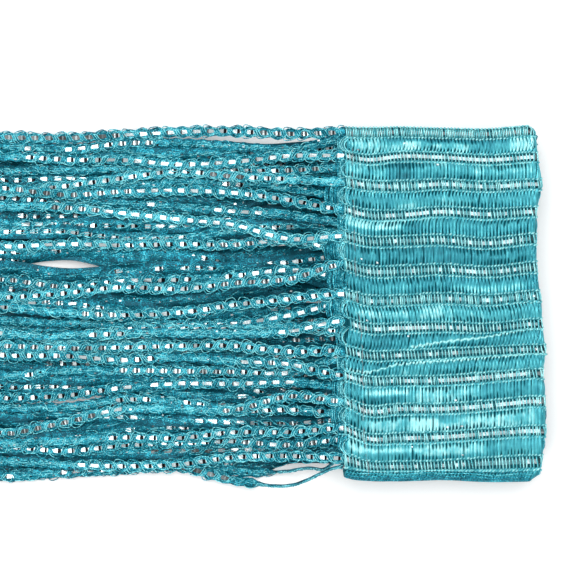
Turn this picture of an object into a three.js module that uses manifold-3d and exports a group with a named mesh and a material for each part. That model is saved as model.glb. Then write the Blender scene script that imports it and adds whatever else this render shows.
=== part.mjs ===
// A string curtain, put down folded: its woven heading band, a flat rod pocket, goes back and
// forth in seven layers, and its strings run out from the band's lower edge over the floor.
//
// Millimetres. X runs along the strings, from their cut ends to the fold along the top of the
// pocket, and x = 0 is the band's lower edge. Y runs across the strings. Z is up from the floor.
import * as THREE from 'three';
import Module from 'manifold-3d';

// The heading band
const POCKET_WALL = 1.0; // one wall of the rod pocket
const POCKET_GAP = 0.3; // left between the walls of the empty pocket
const LAYER_GAP = 0.4; // left between one layer of the folded band and the next
const SEAM_WIDTH = 4.2; // stitched strip along the lower edge, which closes the pocket
const SEAM_PINCH = 0.35; // how far the stitched edge is pressed in, on each side
const NOSE_LENGTH = 1.6; // rounded part of the fold along the top of the pocket
const NOSE_STEP = 0.4; // how far the nose draws back half way to its top
const SELVAGE = 1.9; // cloth outside the first rib
const RIB_PITCH = 9.8; // from one rib, and its string, to the next
const RIB_HALF_WIDTH = 2.2;
const RIB_HEIGHT = 0.45;
const FOLD_STEPS = 4; // flats around the half circle of a fold
const LAYER_STEPS = 8; // flats along a layer that isn't on top

// The strings and the strip that their roots are fused into
const PIECE_GAP = 0.3; // between the strip and the band's edge
const STRIP_WIDTH = 2.0;
const STRIP_THICKNESS = 1.2;
const STRING_WIDTH = 4.6;
const STRING_HEIGHT = 1.1;
const STRING_GAP = 0.15; // air between strings that cross
const STRING_LENGTH = 260;
const END_SPREAD = 7; // how unevenly the strings are cut off
const SAG_SLOPE = 0.35; // how fast a string comes down from its layer
const CROSSING_SLOPE = 0.2; // how fast it climbs over the strings that it crosses

const LAYER_THICKNESS = 2 * POCKET_WALL + POCKET_GAP;
const HALF_LAYER = LAYER_THICKNESS / 2;
const LAYER_PITCH = LAYER_THICKNESS + LAYER_GAP;
const FOLD_RADIUS = LAYER_PITCH / 2;

// Places across the band where the table of ribs on the top layer is measured
const COLUMNS = { edge: 0, left: 7, middle: 34, right: 66 };

// Ribs on the top layer, from its free selvage to its fold: y at each column, and the x that
// the pocket's top fold reaches beside the rib
const TOP_RIBS = [
  { edge: 60.7, left: 60.5, middle: 60.3, right: 61.2, reach: 67.7 },
  { edge: 52.4, left: 50.9, middle: 51.8, right: 51.8, reach: 68.6 },
  { edge: 43.0, left: 41.9, middle: 42.1, right: 42.1, reach: 70.2 },
  { edge: 33.1, left: 31.1, middle: 32.2, right: 32.2, reach: 68.2 },
  { edge: 23.6, left: 21.8, middle: 22.1, right: 22.5, reach: 68.0 },
  { edge: 13.3, left: 11.0, middle: 11.5, right: 12.2, reach: 68.4 },
  { edge: 2.7, left: 0.5, middle: 1.1, right: 2.0, reach: 69.7 },
  { edge: -7.0, left: -9.5, middle: -9.2, right: -8.1, reach: 70.2 },
  { edge: -17.5, left: -19.3, middle: -18.7, right: -17.1, reach: 71.6 },
  { edge: -26.5, left: -28.3, middle: -28.3, right: -25.7, reach: 70.2 },
  { edge: -35.8, left: -39.1, middle: -38.5, right: -35.8, reach: 71.4 },
  { edge: -45.4, left: -48.8, middle: -48.6, right: -46.4, reach: 71.6 },
  { edge: -56.2, left: -58.7, middle: -58.9, right: -57.1, reach: 70.2 },
];

// The first fold, under the last rib of the top layer
const FIRST_FOLD = { edge: -60.7, left: -61.4, middle: -61.2, right: -61.7, reach: 68.6 };

// Layers from the top down: y of the first rib that comes after the fold above, how many ribs,
// x of the lower edge and of the top fold, and y of the centre of the fold that ends the layer
const LAYERS = [
  { first: 60.7, ribs: 13, edge: 0.0, reach: 69.5, turn: -61.3 },
  { first: -59.5, ribs: 13, edge: -0.8, reach: 68.8, turn: 59.5 },
  { first: 55.3, ribs: 12, edge: -1.5, reach: 69.6, turn: -57.0 },
  { first: -55.9, ribs: 12, edge: -0.3, reach: 68.2, turn: 56.5 },
  { first: 55.5, ribs: 12, edge: -1.1, reach: 70.4, turn: -57.0 },
  { first: -56.1, ribs: 12, edge: -1.8, reach: 69.0, turn: 56.3 },
  { first: 55.3, ribs: 12, edge: -0.5, reach: 67.8, turn: -54.4 },
];
const REACH_WAVE = { size: 0.6, length: 57 }; // unevenness of the top fold under the top layer

// Courses of the strings of the upper layers, in the order of their roots: y at 20, 40, 60, 80,
// 100 and 120 mm from the band
const COURSE_STEP = 20;
const COURSES = [
  { layer: 0, at20: 60.3, at40: 61.4, at60: 61.2, at80: 60.1, at100: 59.0, at120: 59.2 },
  { layer: 0, at20: 52.4, at40: 50.4, at60: 49.5, at80: 51.1, at100: 51.2, at120: 52.5 },
  { layer: 0, at20: 44.1, at40: 45.1, at60: 47.0, at80: 44.6, at100: 41.8, at120: 39.5 },
  { layer: 0, at20: 36.5, at40: 39.2, at60: 40.1, at80: 39.7, at100: 38.5, at120: 40.6 },
  { layer: 0, at20: 22.5, at40: 27.6, at60: 29.7, at80: 31.9, at100: 33.8, at120: 34.2 },
  { layer: 0, at20: 8.1, at40: 6.6, at60: 4.5, at80: 5.2, at100: 3.1, at120: 1.5 },
  { layer: 0, at20: 0.9, at40: -1.3, at60: -4.1, at80: -4.9, at100: -4.1, at120: -2.3 },
  { layer: 0, at20: -10.7, at40: -11.5, at60: -11.3, at80: -11.7, at100: -12.2, at120: -11.7 },
  { layer: 0, at20: -18.0, at40: -16.0, at60: -16.1, at80: -16.6, at100: -16.9, at120: -16.2 },
  { layer: 0, at20: -22.6, at40: -21.6, at60: -20.0, at80: -21.2, at100: -19.7, at120: -19.6 },
  { layer: 0, at20: -34.2, at40: -39.1, at60: -39.1, at80: -38.8, at100: -43.5, at120: -47.7 },
  { layer: 0, at20: -47.0, at40: -47.2, at60: -49.3, at80: -49.2, at100: -50.5, at120: -51.5 },
  { layer: 0, at20: -55.6, at40: -56.3, at60: -58.9, at80: -59.6, at100: -59.0, at120: -58.0 },
  { layer: 1, at20: -66.4, at40: -64.6, at60: -59.9, at80: -60.5, at100: -61.7, at120: -63.4 },
  { layer: 1, at20: -51.7, at40: -50.6, at60: -51.3, at80: -52.0, at100: -54.0, at120: -52.6 },
  { layer: 1, at20: -39.0, at40: -39.4, at60: -36.2, at80: -35.5, at100: -38.3, at120: -38.3 },
  { layer: 1, at20: -29.0, at40: -29.7, at60: -29.7, at80: -31.1, at100: -33.9, at120: -35.1 },
  { layer: 1, at20: -25.7, at40: -25.4, at60: -25.2, at80: -24.9, at100: -25.2, at120: -27.1 },
  { layer: 1, at20: -9.1, at40: -9.9, at60: -9.9, at80: -10.3, at100: -14.2, at120: -12.4 },
  { layer: 1, at20: -5.0, at40: -8.1, at60: -8.5, at80: -8.5, at100: -7.7, at120: -7.4 },
  { layer: 1, at20: 11.3, at40: 9.2, at60: 7.9, at80: 7.4, at100: 5.2, at120: 7.7 },
  { layer: 1, at20: 22.1, at40: 20.5, at60: 20.7, at80: 20.3, at100: 20.7, at120: 19.8 },
  { layer: 1, at20: 31.3, at40: 32.6, at60: 34.4, at80: 35.5, at100: 35.3, at120: 37.3 },
  { layer: 1, at20: 40.9, at40: 42.3, at60: 43.4, at80: 41.9, at100: 40.1, at120: 38.0 },
  { layer: 1, at20: 47.2, at40: 47.3, at60: 48.2, at80: 48.1, at100: 47.3, at120: 47.0 },
  { layer: 1, at20: 54.9, at40: 56.0, at60: 57.2, at80: 57.1, at100: 54.9, at120: 55.6 },
  { layer: 2, at20: 53.8, at40: 53.8, at60: 52.7, at80: 54.2, at100: 53.8, at120: 54.5 },
  { layer: 2, at20: 45.9, at40: 47.0, at60: 45.2, at80: 43.4, at100: 44.5, at120: 43.7 },
  { layer: 2, at20: 32.2, at40: 29.7, at60: 27.4, at80: 27.3, at100: 27.7, at120: 27.9 },
  { layer: 2, at20: 26.8, at40: 26.1, at60: 23.1, at80: 22.7, at100: 25.2, at120: 25.0 },
  { layer: 2, at20: 14.2, at40: 13.3, at60: 17.5, at80: 16.6, at100: 18.2, at120: 17.8 },
  { layer: 2, at20: 10.6, at40: 11.7, at60: 12.1, at80: 11.0, at100: 9.5, at120: 12.1 },
  { layer: 2, at20: -2.7, at40: -3.8, at60: -4.5, at80: -3.4, at100: -0.7, at120: -0.2 },
  { layer: 2, at20: -13.9, at40: -13.1, at60: -13.9, at80: -14.2, at100: -14.6, at120: -14.2 },
  { layer: 2, at20: -20.0, at40: -18.5, at60: -18.2, at80: -18.9, at100: -17.5, at120: -17.8 },
  { layer: 2, at20: -35.3, at40: -30.1, at60: -28.6, at80: -28.6, at100: -27.9, at120: -26.8 },
  { layer: 2, at20: -44.1, at40: -43.7, at60: -42.7, at80: -41.8, at100: -40.9, at120: -40.7 },
  { layer: 2, at20: -53.3, at40: -53.8, at60: -54.1, at80: -54.6, at100: -54.2, at120: -52.7 },
  { layer: 3, at20: -61.4, at40: -61.4, at60: -58.4, at80: -60.7, at100: -61.9, at120: -63.0 },
  { layer: 3, at20: -48.4, at40: -46.3, at60: -45.5, at80: -46.6, at100: -49.5, at120: -50.2 },
  { layer: 3, at20: -41.5, at40: -41.0, at60: -40.2, at80: -43.4, at100: -46.5, at120: -44.4 },
  { layer: 3, at20: -31.6, at40: -34.5, at60: -33.0, at80: -32.2, at100: -30.9, at120: -31.1 },
  { layer: 3, at20: -22.8, at40: -23.6, at60: -22.7, at80: -23.2, at100: -22.5, at120: -23.2 },
  { layer: 3, at20: -7.0, at40: -6.2, at60: -6.9, at80: -6.4, at100: -10.3, at120: -9.6 },
  { layer: 3, at20: 4.5, at40: 2.8, at60: 0.3, at80: 0.9, at100: 1.2, at120: 4.4 },
  { layer: 3, at20: 12.4, at40: 9.0, at60: 9.6, at80: 9.3, at100: 7.2, at120: 9.9 },
  { layer: 3, at20: 18.1, at40: 16.9, at60: 14.9, at80: 13.7, at100: 17.4, at120: 15.0 },
  { layer: 3, at20: 29.6, at40: 31.0, at60: 31.9, at80: 33.0, at100: 30.8, at120: 31.1 },
  { layer: 3, at20: 38.7, at40: 36.0, at60: 37.2, at80: 37.5, at100: 36.9, at120: 38.9 },
  { layer: 3, at20: 49.8, at40: 49.0, at60: 50.2, at80: 50.6, at100: 49.5, at120: 49.8 },
];

// A string further down comes to lie under one of those: how far beside it, and over what stretch
const FOLLOW = { beside: 1.3, from: 8, to: 36 };
// Past the table the strings spread until they lie evenly, and all sway together
const TABLE_END = 6 * COURSE_STEP;
const FAR_WIDTH = 124;
const FAR_WAVE = { size: 1.5, length: 150 };
const GOLDEN = 0.618; // share of a turn by which one string differs from the one before

// Distances from the band at which a string has a corner; its root is inside the strip
const STATIONS = [1.3, 6, 12, 20, 30, 40, 55, 70, 85, 100, 120, 145, 175, 205, 235, 260];

const wasm = await Module();
wasm.setup();

const fraction = (value) => value - Math.floor(value);
const layerZ = (layer) => HALF_LAYER + (LAYERS.length - 1 - layer) * LAYER_PITCH;
const direction = (layer) => (layer % 2 === 0 ? -1 : 1); // along Y, from fold to fold

// y of a row of the rib table at any x across the band
function rowY(row, x) {
  const names = Object.keys(COLUMNS);
  for (let i = 1; i < names.length; i += 1) {
    const [from, to] = [names[i - 1], names[i]];
    if (x <= COLUMNS[to] || i === names.length - 1) {
      const share = (x - COLUMNS[from]) / (COLUMNS[to] - COLUMNS[from]);
      return THREE.MathUtils.lerp(row[from], row[to], THREE.MathUtils.clamp(share, 0, 1));
    }
  }
  return row.right;
}

// One closed solid through sections that all have the same number of corners
function loft(sections) {
  const corners = sections[0].length;
  const points = sections.flat();
  const triangles = [];
  for (let s = 1; s < sections.length; s += 1) {
    for (let c = 0; c < corners; c += 1) {
      const next = (c + 1) % corners;
      const [a, b] = [(s - 1) * corners + c, (s - 1) * corners + next];
      const [d, e] = [s * corners + c, s * corners + next];
      triangles.push([a, d, e], [a, e, b]);
    }
  }
  const last = (sections.length - 1) * corners;
  for (let c = 1; c < corners - 1; c += 1) {
    triangles.push([0, c, c + 1], [last, last + c + 1, last + c]);
  }
  return solid(points, triangles);
}

function solid(points, triangles) {
  let volume = 0;
  for (const [a, b, c] of triangles) {
    volume += points[a].dot(points[b].clone().cross(points[c]));
  }
  const outward = volume > 0 ? triangles : triangles.map(([a, b, c]) => [a, c, b]);
  return new wasm.Manifold(new wasm.Mesh({
    numProp: 3,
    vertProperties: new Float32Array(points.flatMap((point) => point.toArray())),
    triVerts: new Uint32Array(outward.flat()),
  }));
}

function meshOf(name, manifold, material) {
  const { numProp, vertProperties, triVerts } = manifold.getMesh();
  const positions = [];
  for (let i = 0; i < vertProperties.length; i += numProp) {
    positions.push(vertProperties[i], vertProperties[i + 1], vertProperties[i + 2]);
  }
  const geometry = new THREE.BufferGeometry();
  geometry.setAttribute('position', new THREE.Float32BufferAttribute(positions, 3));
  geometry.setIndex([...triVerts]);
  geometry.computeVertexNormals();
  const mesh = new THREE.Mesh(geometry, material);
  mesh.name = name;
  return mesh;
}

// Stations along the folded band: a row of y values across it, the height of its middle, the
// direction that its upper face had on the top layer, its two edges, and the height of a rib
function topStations() {
  const station = (row, shift, reach, rib) => ({
    row: {
      edge: row.edge + shift,
      left: row.left + shift,
      middle: row.middle + shift,
      right: row.right + shift,
    },
    z: layerZ(0),
    normal: { y: 0, z: 1 },
    edge: LAYERS[0].edge,
    reach,
    rib,
  });
  const stations = [station(TOP_RIBS[0], SELVAGE, TOP_RIBS[0].reach, 0)];
  TOP_RIBS.forEach((row, i) => {
    if (i > 0) {
      stations.push(station(row, RIB_HALF_WIDTH, row.reach, 0));
    }
    stations.push(station(row, 0, row.reach, RIB_HEIGHT));
    stations.push(station(row, -RIB_HALF_WIDTH, row.reach, 0));
  });
  return stations;
}

function lowerStations(layer) {
  const { edge, reach, turn } = LAYERS[layer];
  const start = LAYERS[layer - 1].turn;
  const isLast = layer === LAYERS.length - 1;
  const stations = [];
  for (let i = 1; i <= LAYER_STEPS; i += 1) {
    if (i === LAYER_STEPS && !isLast) {
      break;
    }
    const y = THREE.MathUtils.lerp(start, turn, i / LAYER_STEPS);
    const wave = REACH_WAVE.size * Math.sin((2 * Math.PI * y) / REACH_WAVE.length + 2 * layer);
    stations.push({
      row: { edge: y, left: y, middle: y, right: y },
      z: layerZ(layer),
      normal: { y: 0, z: -direction(layer) },
      edge,
      reach: reach + wave,
      rib: 0,
    });
  }
  return stations;
}

// The half circle from one layer down to the next
function foldStations(layer) {
  const side = direction(layer);
  const { turn } = LAYERS[layer];
  const centre = layer === 0 ? FIRST_FOLD : { edge: turn, left: turn, middle: turn, right: turn };
  const [above, below] = [LAYERS[layer], LAYERS[layer + 1]];
  const reachAbove = layer === 0 ? FIRST_FOLD.reach : above.reach;
  const stations = [];
  for (let i = 0; i <= FOLD_STEPS; i += 1) {
    const share = i / FOLD_STEPS;
    const angle = Math.PI * share;
    const outward = { y: side * Math.sin(angle), z: Math.cos(angle) };
    const shift = FOLD_RADIUS * outward.y;
    stations.push({
      row: {
        edge: centre.edge + shift,
        left: centre.left + shift,
        middle: centre.middle + shift,
        right: centre.right + shift,
      },
      z: layerZ(layer) - FOLD_RADIUS + FOLD_RADIUS * outward.z,
      normal: { y: -side * outward.y, z: -side * outward.z },
      edge: THREE.MathUtils.lerp(above.edge, below.edge, share),
      reach: THREE.MathUtils.lerp(reachAbove, below.reach, share),
      rib: 0,
    });
  }
  return stations;
}

function bandStations() {
  const stations = topStations();
  for (let layer = 1; layer < LAYERS.length; layer += 1) {
    stations.push(...foldStations(layer - 1), ...lowerStations(layer));
  }
  return stations;
}

// A corner of a section: x across the band, and how far off its middle
function corner(station, x, offset) {
  const y = rowY(station.row, x) + station.normal.y * offset;
  return new THREE.Vector3(x, y, station.z + station.normal.z * offset);
}

function pocketSection(station) {
  const { edge, reach, rib } = station;
  const top = HALF_LAYER + rib;
  const nose = reach + rib;
  return [
    corner(station, edge, HALF_LAYER - SEAM_PINCH),
    corner(station, COLUMNS.left, top),
    corner(station, COLUMNS.middle, top),
    corner(station, reach - NOSE_LENGTH, top),
    corner(station, nose - NOSE_STEP, HALF_LAYER * 0.6),
    corner(station, nose, 0),
    corner(station, nose - NOSE_STEP, -HALF_LAYER * 0.6),
    corner(station, reach - NOSE_LENGTH, -HALF_LAYER),
    corner(station, COLUMNS.middle, -HALF_LAYER),
    corner(station, COLUMNS.left, -HALF_LAYER),
    corner(station, edge, SEAM_PINCH - HALF_LAYER),
  ];
}

function hollowSection(station) {
  const [from, to] = [station.edge + SEAM_WIDTH, station.reach - NOSE_LENGTH];
  const half = POCKET_GAP / 2;
  return [
    corner(station, from, half),
    corner(station, to, half),
    corner(station, to, -half),
    corner(station, from, -half),
  ];
}

// The same station moved along the band, so that the hollow runs out past its free ends
function moved(station, distance) {
  const row = { ...station.row };
  for (const name of Object.keys(row)) {
    row[name] += distance;
  }
  return { ...station, row };
}

function makeHeading(stations) {
  const band = loft(stations.map(pocketSection));
  const hollowStations = [...stations];
  hollowStations[0] = moved(stations[0], 1);
  hollowStations[stations.length - 1] = moved(stations[stations.length - 1], -1);
  return band.subtract(loft(hollowStations.map(hollowSection)));
}

function makeStrip(stations) {
  const half = STRIP_THICKNESS / 2;
  const sections = stations.map((station) => {
    const to = station.edge - PIECE_GAP;
    const from = to - STRIP_WIDTH;
    return [
      corner(station, from, half),
      corner(station, to, half),
      corner(station, to, -half),
      corner(station, from, -half),
    ];
  });
  return loft(sections);
}

// A smooth curve through the knots of a course, which leaves the band at a right angle
function knotCurve(knots, x) {
  const last = knots.length - 1;
  const at = THREE.MathUtils.clamp(x / COURSE_STEP, 0, last);
  const i = Math.min(Math.floor(at), last - 1);
  const t = at - i;
  const slope = (k) => {
    if (k === 0) {
      return 0;
    }
    return k === last ? knots[last] - knots[last - 1] : (knots[k + 1] - knots[k - 1]) / 2;
  };
  const [p, q] = [knots[i], knots[i + 1]];
  const [m, n] = [slope(i), slope(i + 1)];
  const rise = 3 * (q - p) - 2 * m - n;
  return p + m * t + rise * t * t + (m + n - 2 * (q - p)) * t * t * t;
}

function courseY(string, x) {
  const { host, knots } = string;
  if (x > TABLE_END) {
    const past = x - TABLE_END;
    const share = THREE.MathUtils.smoothstep(x, TABLE_END, STRING_LENGTH);
    const wave = FAR_WAVE.size * Math.sin((2 * Math.PI * past) / FAR_WAVE.length);
    return THREE.MathUtils.lerp(courseY(string, TABLE_END), string.farY, share) + wave;
  }
  if (host) {
    const blend = THREE.MathUtils.smoothstep(x, FOLLOW.from, FOLLOW.to);
    return THREE.MathUtils.lerp(string.rootY, courseY(host, x) + string.beside, blend);
  }
  return knotCurve(knots, x);
}

function listStrings() {
  const strings = [];
  LAYERS.forEach(({ first, ribs, edge }, layer) => {
    const rows = COURSES.filter((course) => course.layer === layer);
    for (let i = 0; i < ribs; i += 1) {
      const rootY = layer === 0 ? TOP_RIBS[i].edge : first + direction(layer) * RIB_PITCH * i;
      const number = strings.length;
      const string = { layer, rootY, edge, turn: i % 2 };
      string.phase = 2 * Math.PI * fraction(number * GOLDEN);
      string.length = STRING_LENGTH - END_SPREAD * fraction(number * GOLDEN * GOLDEN);
      if (rows[i]) {
        const { at20, at40, at60, at80, at100, at120 } = rows[i];
        string.knots = [rootY, at20, at40, at60, at80, at100, at120];
      }
      strings.push(string);
    }
  });
  const hosts = strings.filter((string) => string.knots);
  for (const string of strings.filter((each) => !each.knots)) {
    const away = (host) => Math.abs(host.knots[2] - string.rootY);
    const nearest = [...hosts].sort((a, b) => away(a) - away(b));
    string.host = nearest[string.layer < 5 ? 0 : 1];
    string.beside = FOLLOW.beside * Math.sin(string.phase);
  }
  const across = [...strings].sort((a, b) => courseY(a, TABLE_END) - courseY(b, TABLE_END));
  across.forEach((string, rank) => {
    string.farY = FAR_WIDTH * (rank / (across.length - 1) - 0.5);
  });
  return strings;
}

// How near two strings come between two stations, seen from above
function nearestApproach(a, b, k) {
  const before = a.y[k - 1] - b.y[k - 1];
  const after = a.y[k] - b.y[k];
  return before * after <= 0 ? 0 : Math.min(Math.abs(before), Math.abs(after));
}

// Height that a string needs over another one: all of it where it lies on the other's ridge, and
// less where it only covers a flank
function riseOver(apart) {
  const share = THREE.MathUtils.clamp(2 - (2 * apart) / STRING_WIDTH, 0, 1);
  return share * STRING_HEIGHT + STRING_GAP;
}

// Strings are laid from the bottom layer up, in each layer every other one first, and each rests
// on the floor or on those that it crosses
function layStrings(strings) {
  const order = [...strings].sort((a, b) => b.layer - a.layer || a.turn - b.turn);
  const laid = [];
  for (const string of order) {
    const support = STATIONS.map(() => 0);
    for (const other of laid) {
      for (let k = 2; k < STATIONS.length; k += 1) {
        const apart = nearestApproach(string, other, k);
        if (apart < STRING_WIDTH + STRING_GAP) {
          for (const end of [k - 1, k]) {
            support[end] = Math.max(support[end], other.z[end] + riseOver(apart));
          }
        }
      }
    }
    const rootZ = layerZ(string.layer) - STRING_HEIGHT / 2;
    string.z = STATIONS.map((x, k) => {
      if (k < 2) {
        return rootZ;
      }
      const held = support.map((top, m) => top - CROSSING_SLOPE * Math.abs(x - STATIONS[m]));
      return Math.max(0, rootZ - SAG_SLOPE * (x - STATIONS[1]), ...held);
    });
    laid.push(string);
  }
}

function stringSolid(string) {
  const middles = STATIONS.map((distance, k) => {
    const x = k === 0 ? string.edge - distance : -distance;
    return new THREE.Vector3(x, string.y[k], string.z[k]);
  });
  const end = STATIONS.length - 1;
  const share = (string.length - STATIONS[end - 1]) / (STATIONS[end] - STATIONS[end - 1]);
  middles[end].lerpVectors(middles[end - 1], middles[end].clone(), share);
  return loft(middles.map(({ x, y, z }) => [
    new THREE.Vector3(x, y - STRING_WIDTH / 2, z),
    new THREE.Vector3(x, y + STRING_WIDTH / 2, z),
    new THREE.Vector3(x, y, z + STRING_HEIGHT),
  ]));
}

function makeStrings(stations) {
  const strings = listStrings();
  for (const string of strings) {
    string.y = STATIONS.map((x, k) => (k === 0 ? string.rootY : courseY(string, x)));
  }
  layStrings(strings);
  return strings.reduce((whole, string) => whole.add(stringSolid(string)), makeStrip(stations));
}

const headingMaterial = new THREE.MeshStandardMaterial({
  color: 0x3a9fb2, roughness: 0.4, metalness: 0.15,
});
const stringMaterial = new THREE.MeshStandardMaterial({
  color: 0x2f93a8, roughness: 0.4, metalness: 0.3,
});

const stations = bandStations();
const curtain = new THREE.Group();
curtain.add(
  meshOf('heading', makeHeading(stations), headingMaterial),
  meshOf('strings', makeStrings(stations), stringMaterial),
);

// The origin is on the floor, under the middle of the whole curtain
const box = new THREE.Box3().setFromObject(curtain);
const middle = box.getCenter(new THREE.Vector3());
curtain.position.set(-middle.x, -middle.y, -box.min.z);

export default curtain;
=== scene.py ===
import math

import bpy
import numpy as np
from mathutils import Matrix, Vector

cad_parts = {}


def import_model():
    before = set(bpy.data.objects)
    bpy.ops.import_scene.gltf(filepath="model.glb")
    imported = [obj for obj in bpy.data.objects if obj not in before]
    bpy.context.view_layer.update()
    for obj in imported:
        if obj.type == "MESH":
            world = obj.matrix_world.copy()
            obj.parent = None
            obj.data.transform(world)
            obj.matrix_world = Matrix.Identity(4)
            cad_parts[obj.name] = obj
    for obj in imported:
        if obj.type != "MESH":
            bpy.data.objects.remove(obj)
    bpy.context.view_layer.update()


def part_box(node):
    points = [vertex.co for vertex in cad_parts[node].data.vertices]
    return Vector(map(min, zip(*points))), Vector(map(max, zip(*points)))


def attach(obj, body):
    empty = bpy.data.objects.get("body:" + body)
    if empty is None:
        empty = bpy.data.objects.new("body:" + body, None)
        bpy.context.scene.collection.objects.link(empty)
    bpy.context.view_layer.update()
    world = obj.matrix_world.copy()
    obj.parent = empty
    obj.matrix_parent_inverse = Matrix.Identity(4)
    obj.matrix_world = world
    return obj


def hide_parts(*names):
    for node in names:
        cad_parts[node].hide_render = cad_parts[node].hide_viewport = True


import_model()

MM = 0.001
UP = np.array([0.0, 0.0, 1.0])


def table(columns, *rows):
    """Rows of values under named columns."""
    names = columns.split()
    return [dict(zip(names, row)) for row in rows]


# The heading band, as in the solids
POCKET_WALL = 1.0
POCKET_GAP = 0.3
LAYER_GAP = 0.4
SEAM_WIDTH = 4.2
SEAM_PINCH = 0.35
NOSE_LENGTH = 1.6
SELVAGE = 1.9
RIB_PITCH = 9.8
RIB_HEIGHT = 0.45
HALF_LAYER = POCKET_WALL + POCKET_GAP / 2
LAYER_PITCH = 2 * HALF_LAYER + LAYER_GAP
FOLD_RADIUS = LAYER_PITCH / 2
NOSE_ARC = math.pi * math.sqrt((NOSE_LENGTH**2 + HALF_LAYER**2) / 2)

# The share of its radius that a yarn keeps at its two ends
TUBE_END = 0.2

# Places across the band where the table of ribs on the top layer is measured
COLUMNS = {"edge": 0, "left": 7, "quarter": 20, "middle": 34, "late": 52, "right": 66}
COLUMN_X = np.array(list(COLUMNS.values()), float)

# Ribs on the top layer, from its free selvage to its fold: y at each column, and the x that the
# pocket's top fold reaches beside the rib
RIB_COLUMNS = "edge left quarter middle late right reach"
TOP_RIBS = table(
    RIB_COLUMNS,
    (60.7, 60.5, 60.7, 60.3, 60.1, 61.2, 67.7),
    (52.4, 50.9, 52.2, 51.8, 50.8, 51.8, 68.6),
    (43.0, 41.9, 41.2, 42.1, 41.2, 42.1, 70.2),
    (33.1, 31.1, 31.0, 32.2, 31.3, 32.2, 68.2),
    (23.6, 21.8, 21.8, 22.1, 20.9, 22.5, 68.0),
    (13.3, 11.0, 10.8, 11.5, 10.6, 12.2, 68.4),
    (2.7, 0.5, 0.4, 1.1, 0.5, 2.0, 69.7),
    (-7.0, -9.5, -9.5, -9.2, -9.7, -8.1, 70.2),
    (-17.5, -19.3, -19.3, -18.7, -17.6, -17.1, 71.6),
    (-26.5, -28.3, -28.4, -28.3, -27.0, -25.7, 70.2),
    (-35.8, -39.1, -38.5, -38.5, -37.3, -35.8, 71.4),
    (-45.4, -48.8, -49.0, -48.6, -47.3, -46.4, 71.6),
    (-56.2, -58.7, -59.2, -58.9, -57.8, -57.1, 70.2),
)
FIRST_FOLD = table(RIB_COLUMNS, (-60.7, -61.4, -61.6, -61.2, -61.9, -61.7, 69.6))[0]

# Layers from the top down: y of the first rib after the fold above, how many ribs, x of the lower
# edge and of the top fold, and y of the centre of the fold that ends the layer
LAYERS = table(
    "first ribs edge reach turn",
    (60.7, 13, 0.0, 69.5, -61.3),
    (-59.5, 13, -0.8, 68.8, 59.5),
    (55.3, 12, -1.5, 69.6, -57.0),
    (-55.9, 12, -0.3, 68.2, 56.5),
    (55.5, 12, -1.1, 70.4, -57.0),
    (-56.1, 12, -1.8, 69.0, 56.3),
    (55.3, 12, -0.5, 67.8, -54.4),
)
REACH_WAVE = {"size": 0.6, "length": 57}
# How far a fold is drawn in at the top of the pocket, and the free corner with it
FOLD_ROUNDING = 2.0
CORNER_CUT = 2.4
# A lower layer stays this far inside the top one
LAYER_INSET = 0.3
FOLD_STEPS = 13

# The strings, as in the solids
STRING_WIDTH = 4.6
STRING_HEIGHT = 1.1
STRING_GAP = 0.15
STRING_LENGTH = 260
END_SPREAD = 7
SAG_SLOPE = 0.35
CROSSING_SLOPE = 0.2
ROOT_LEVEL = 6
GOLDEN = 0.618

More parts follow.
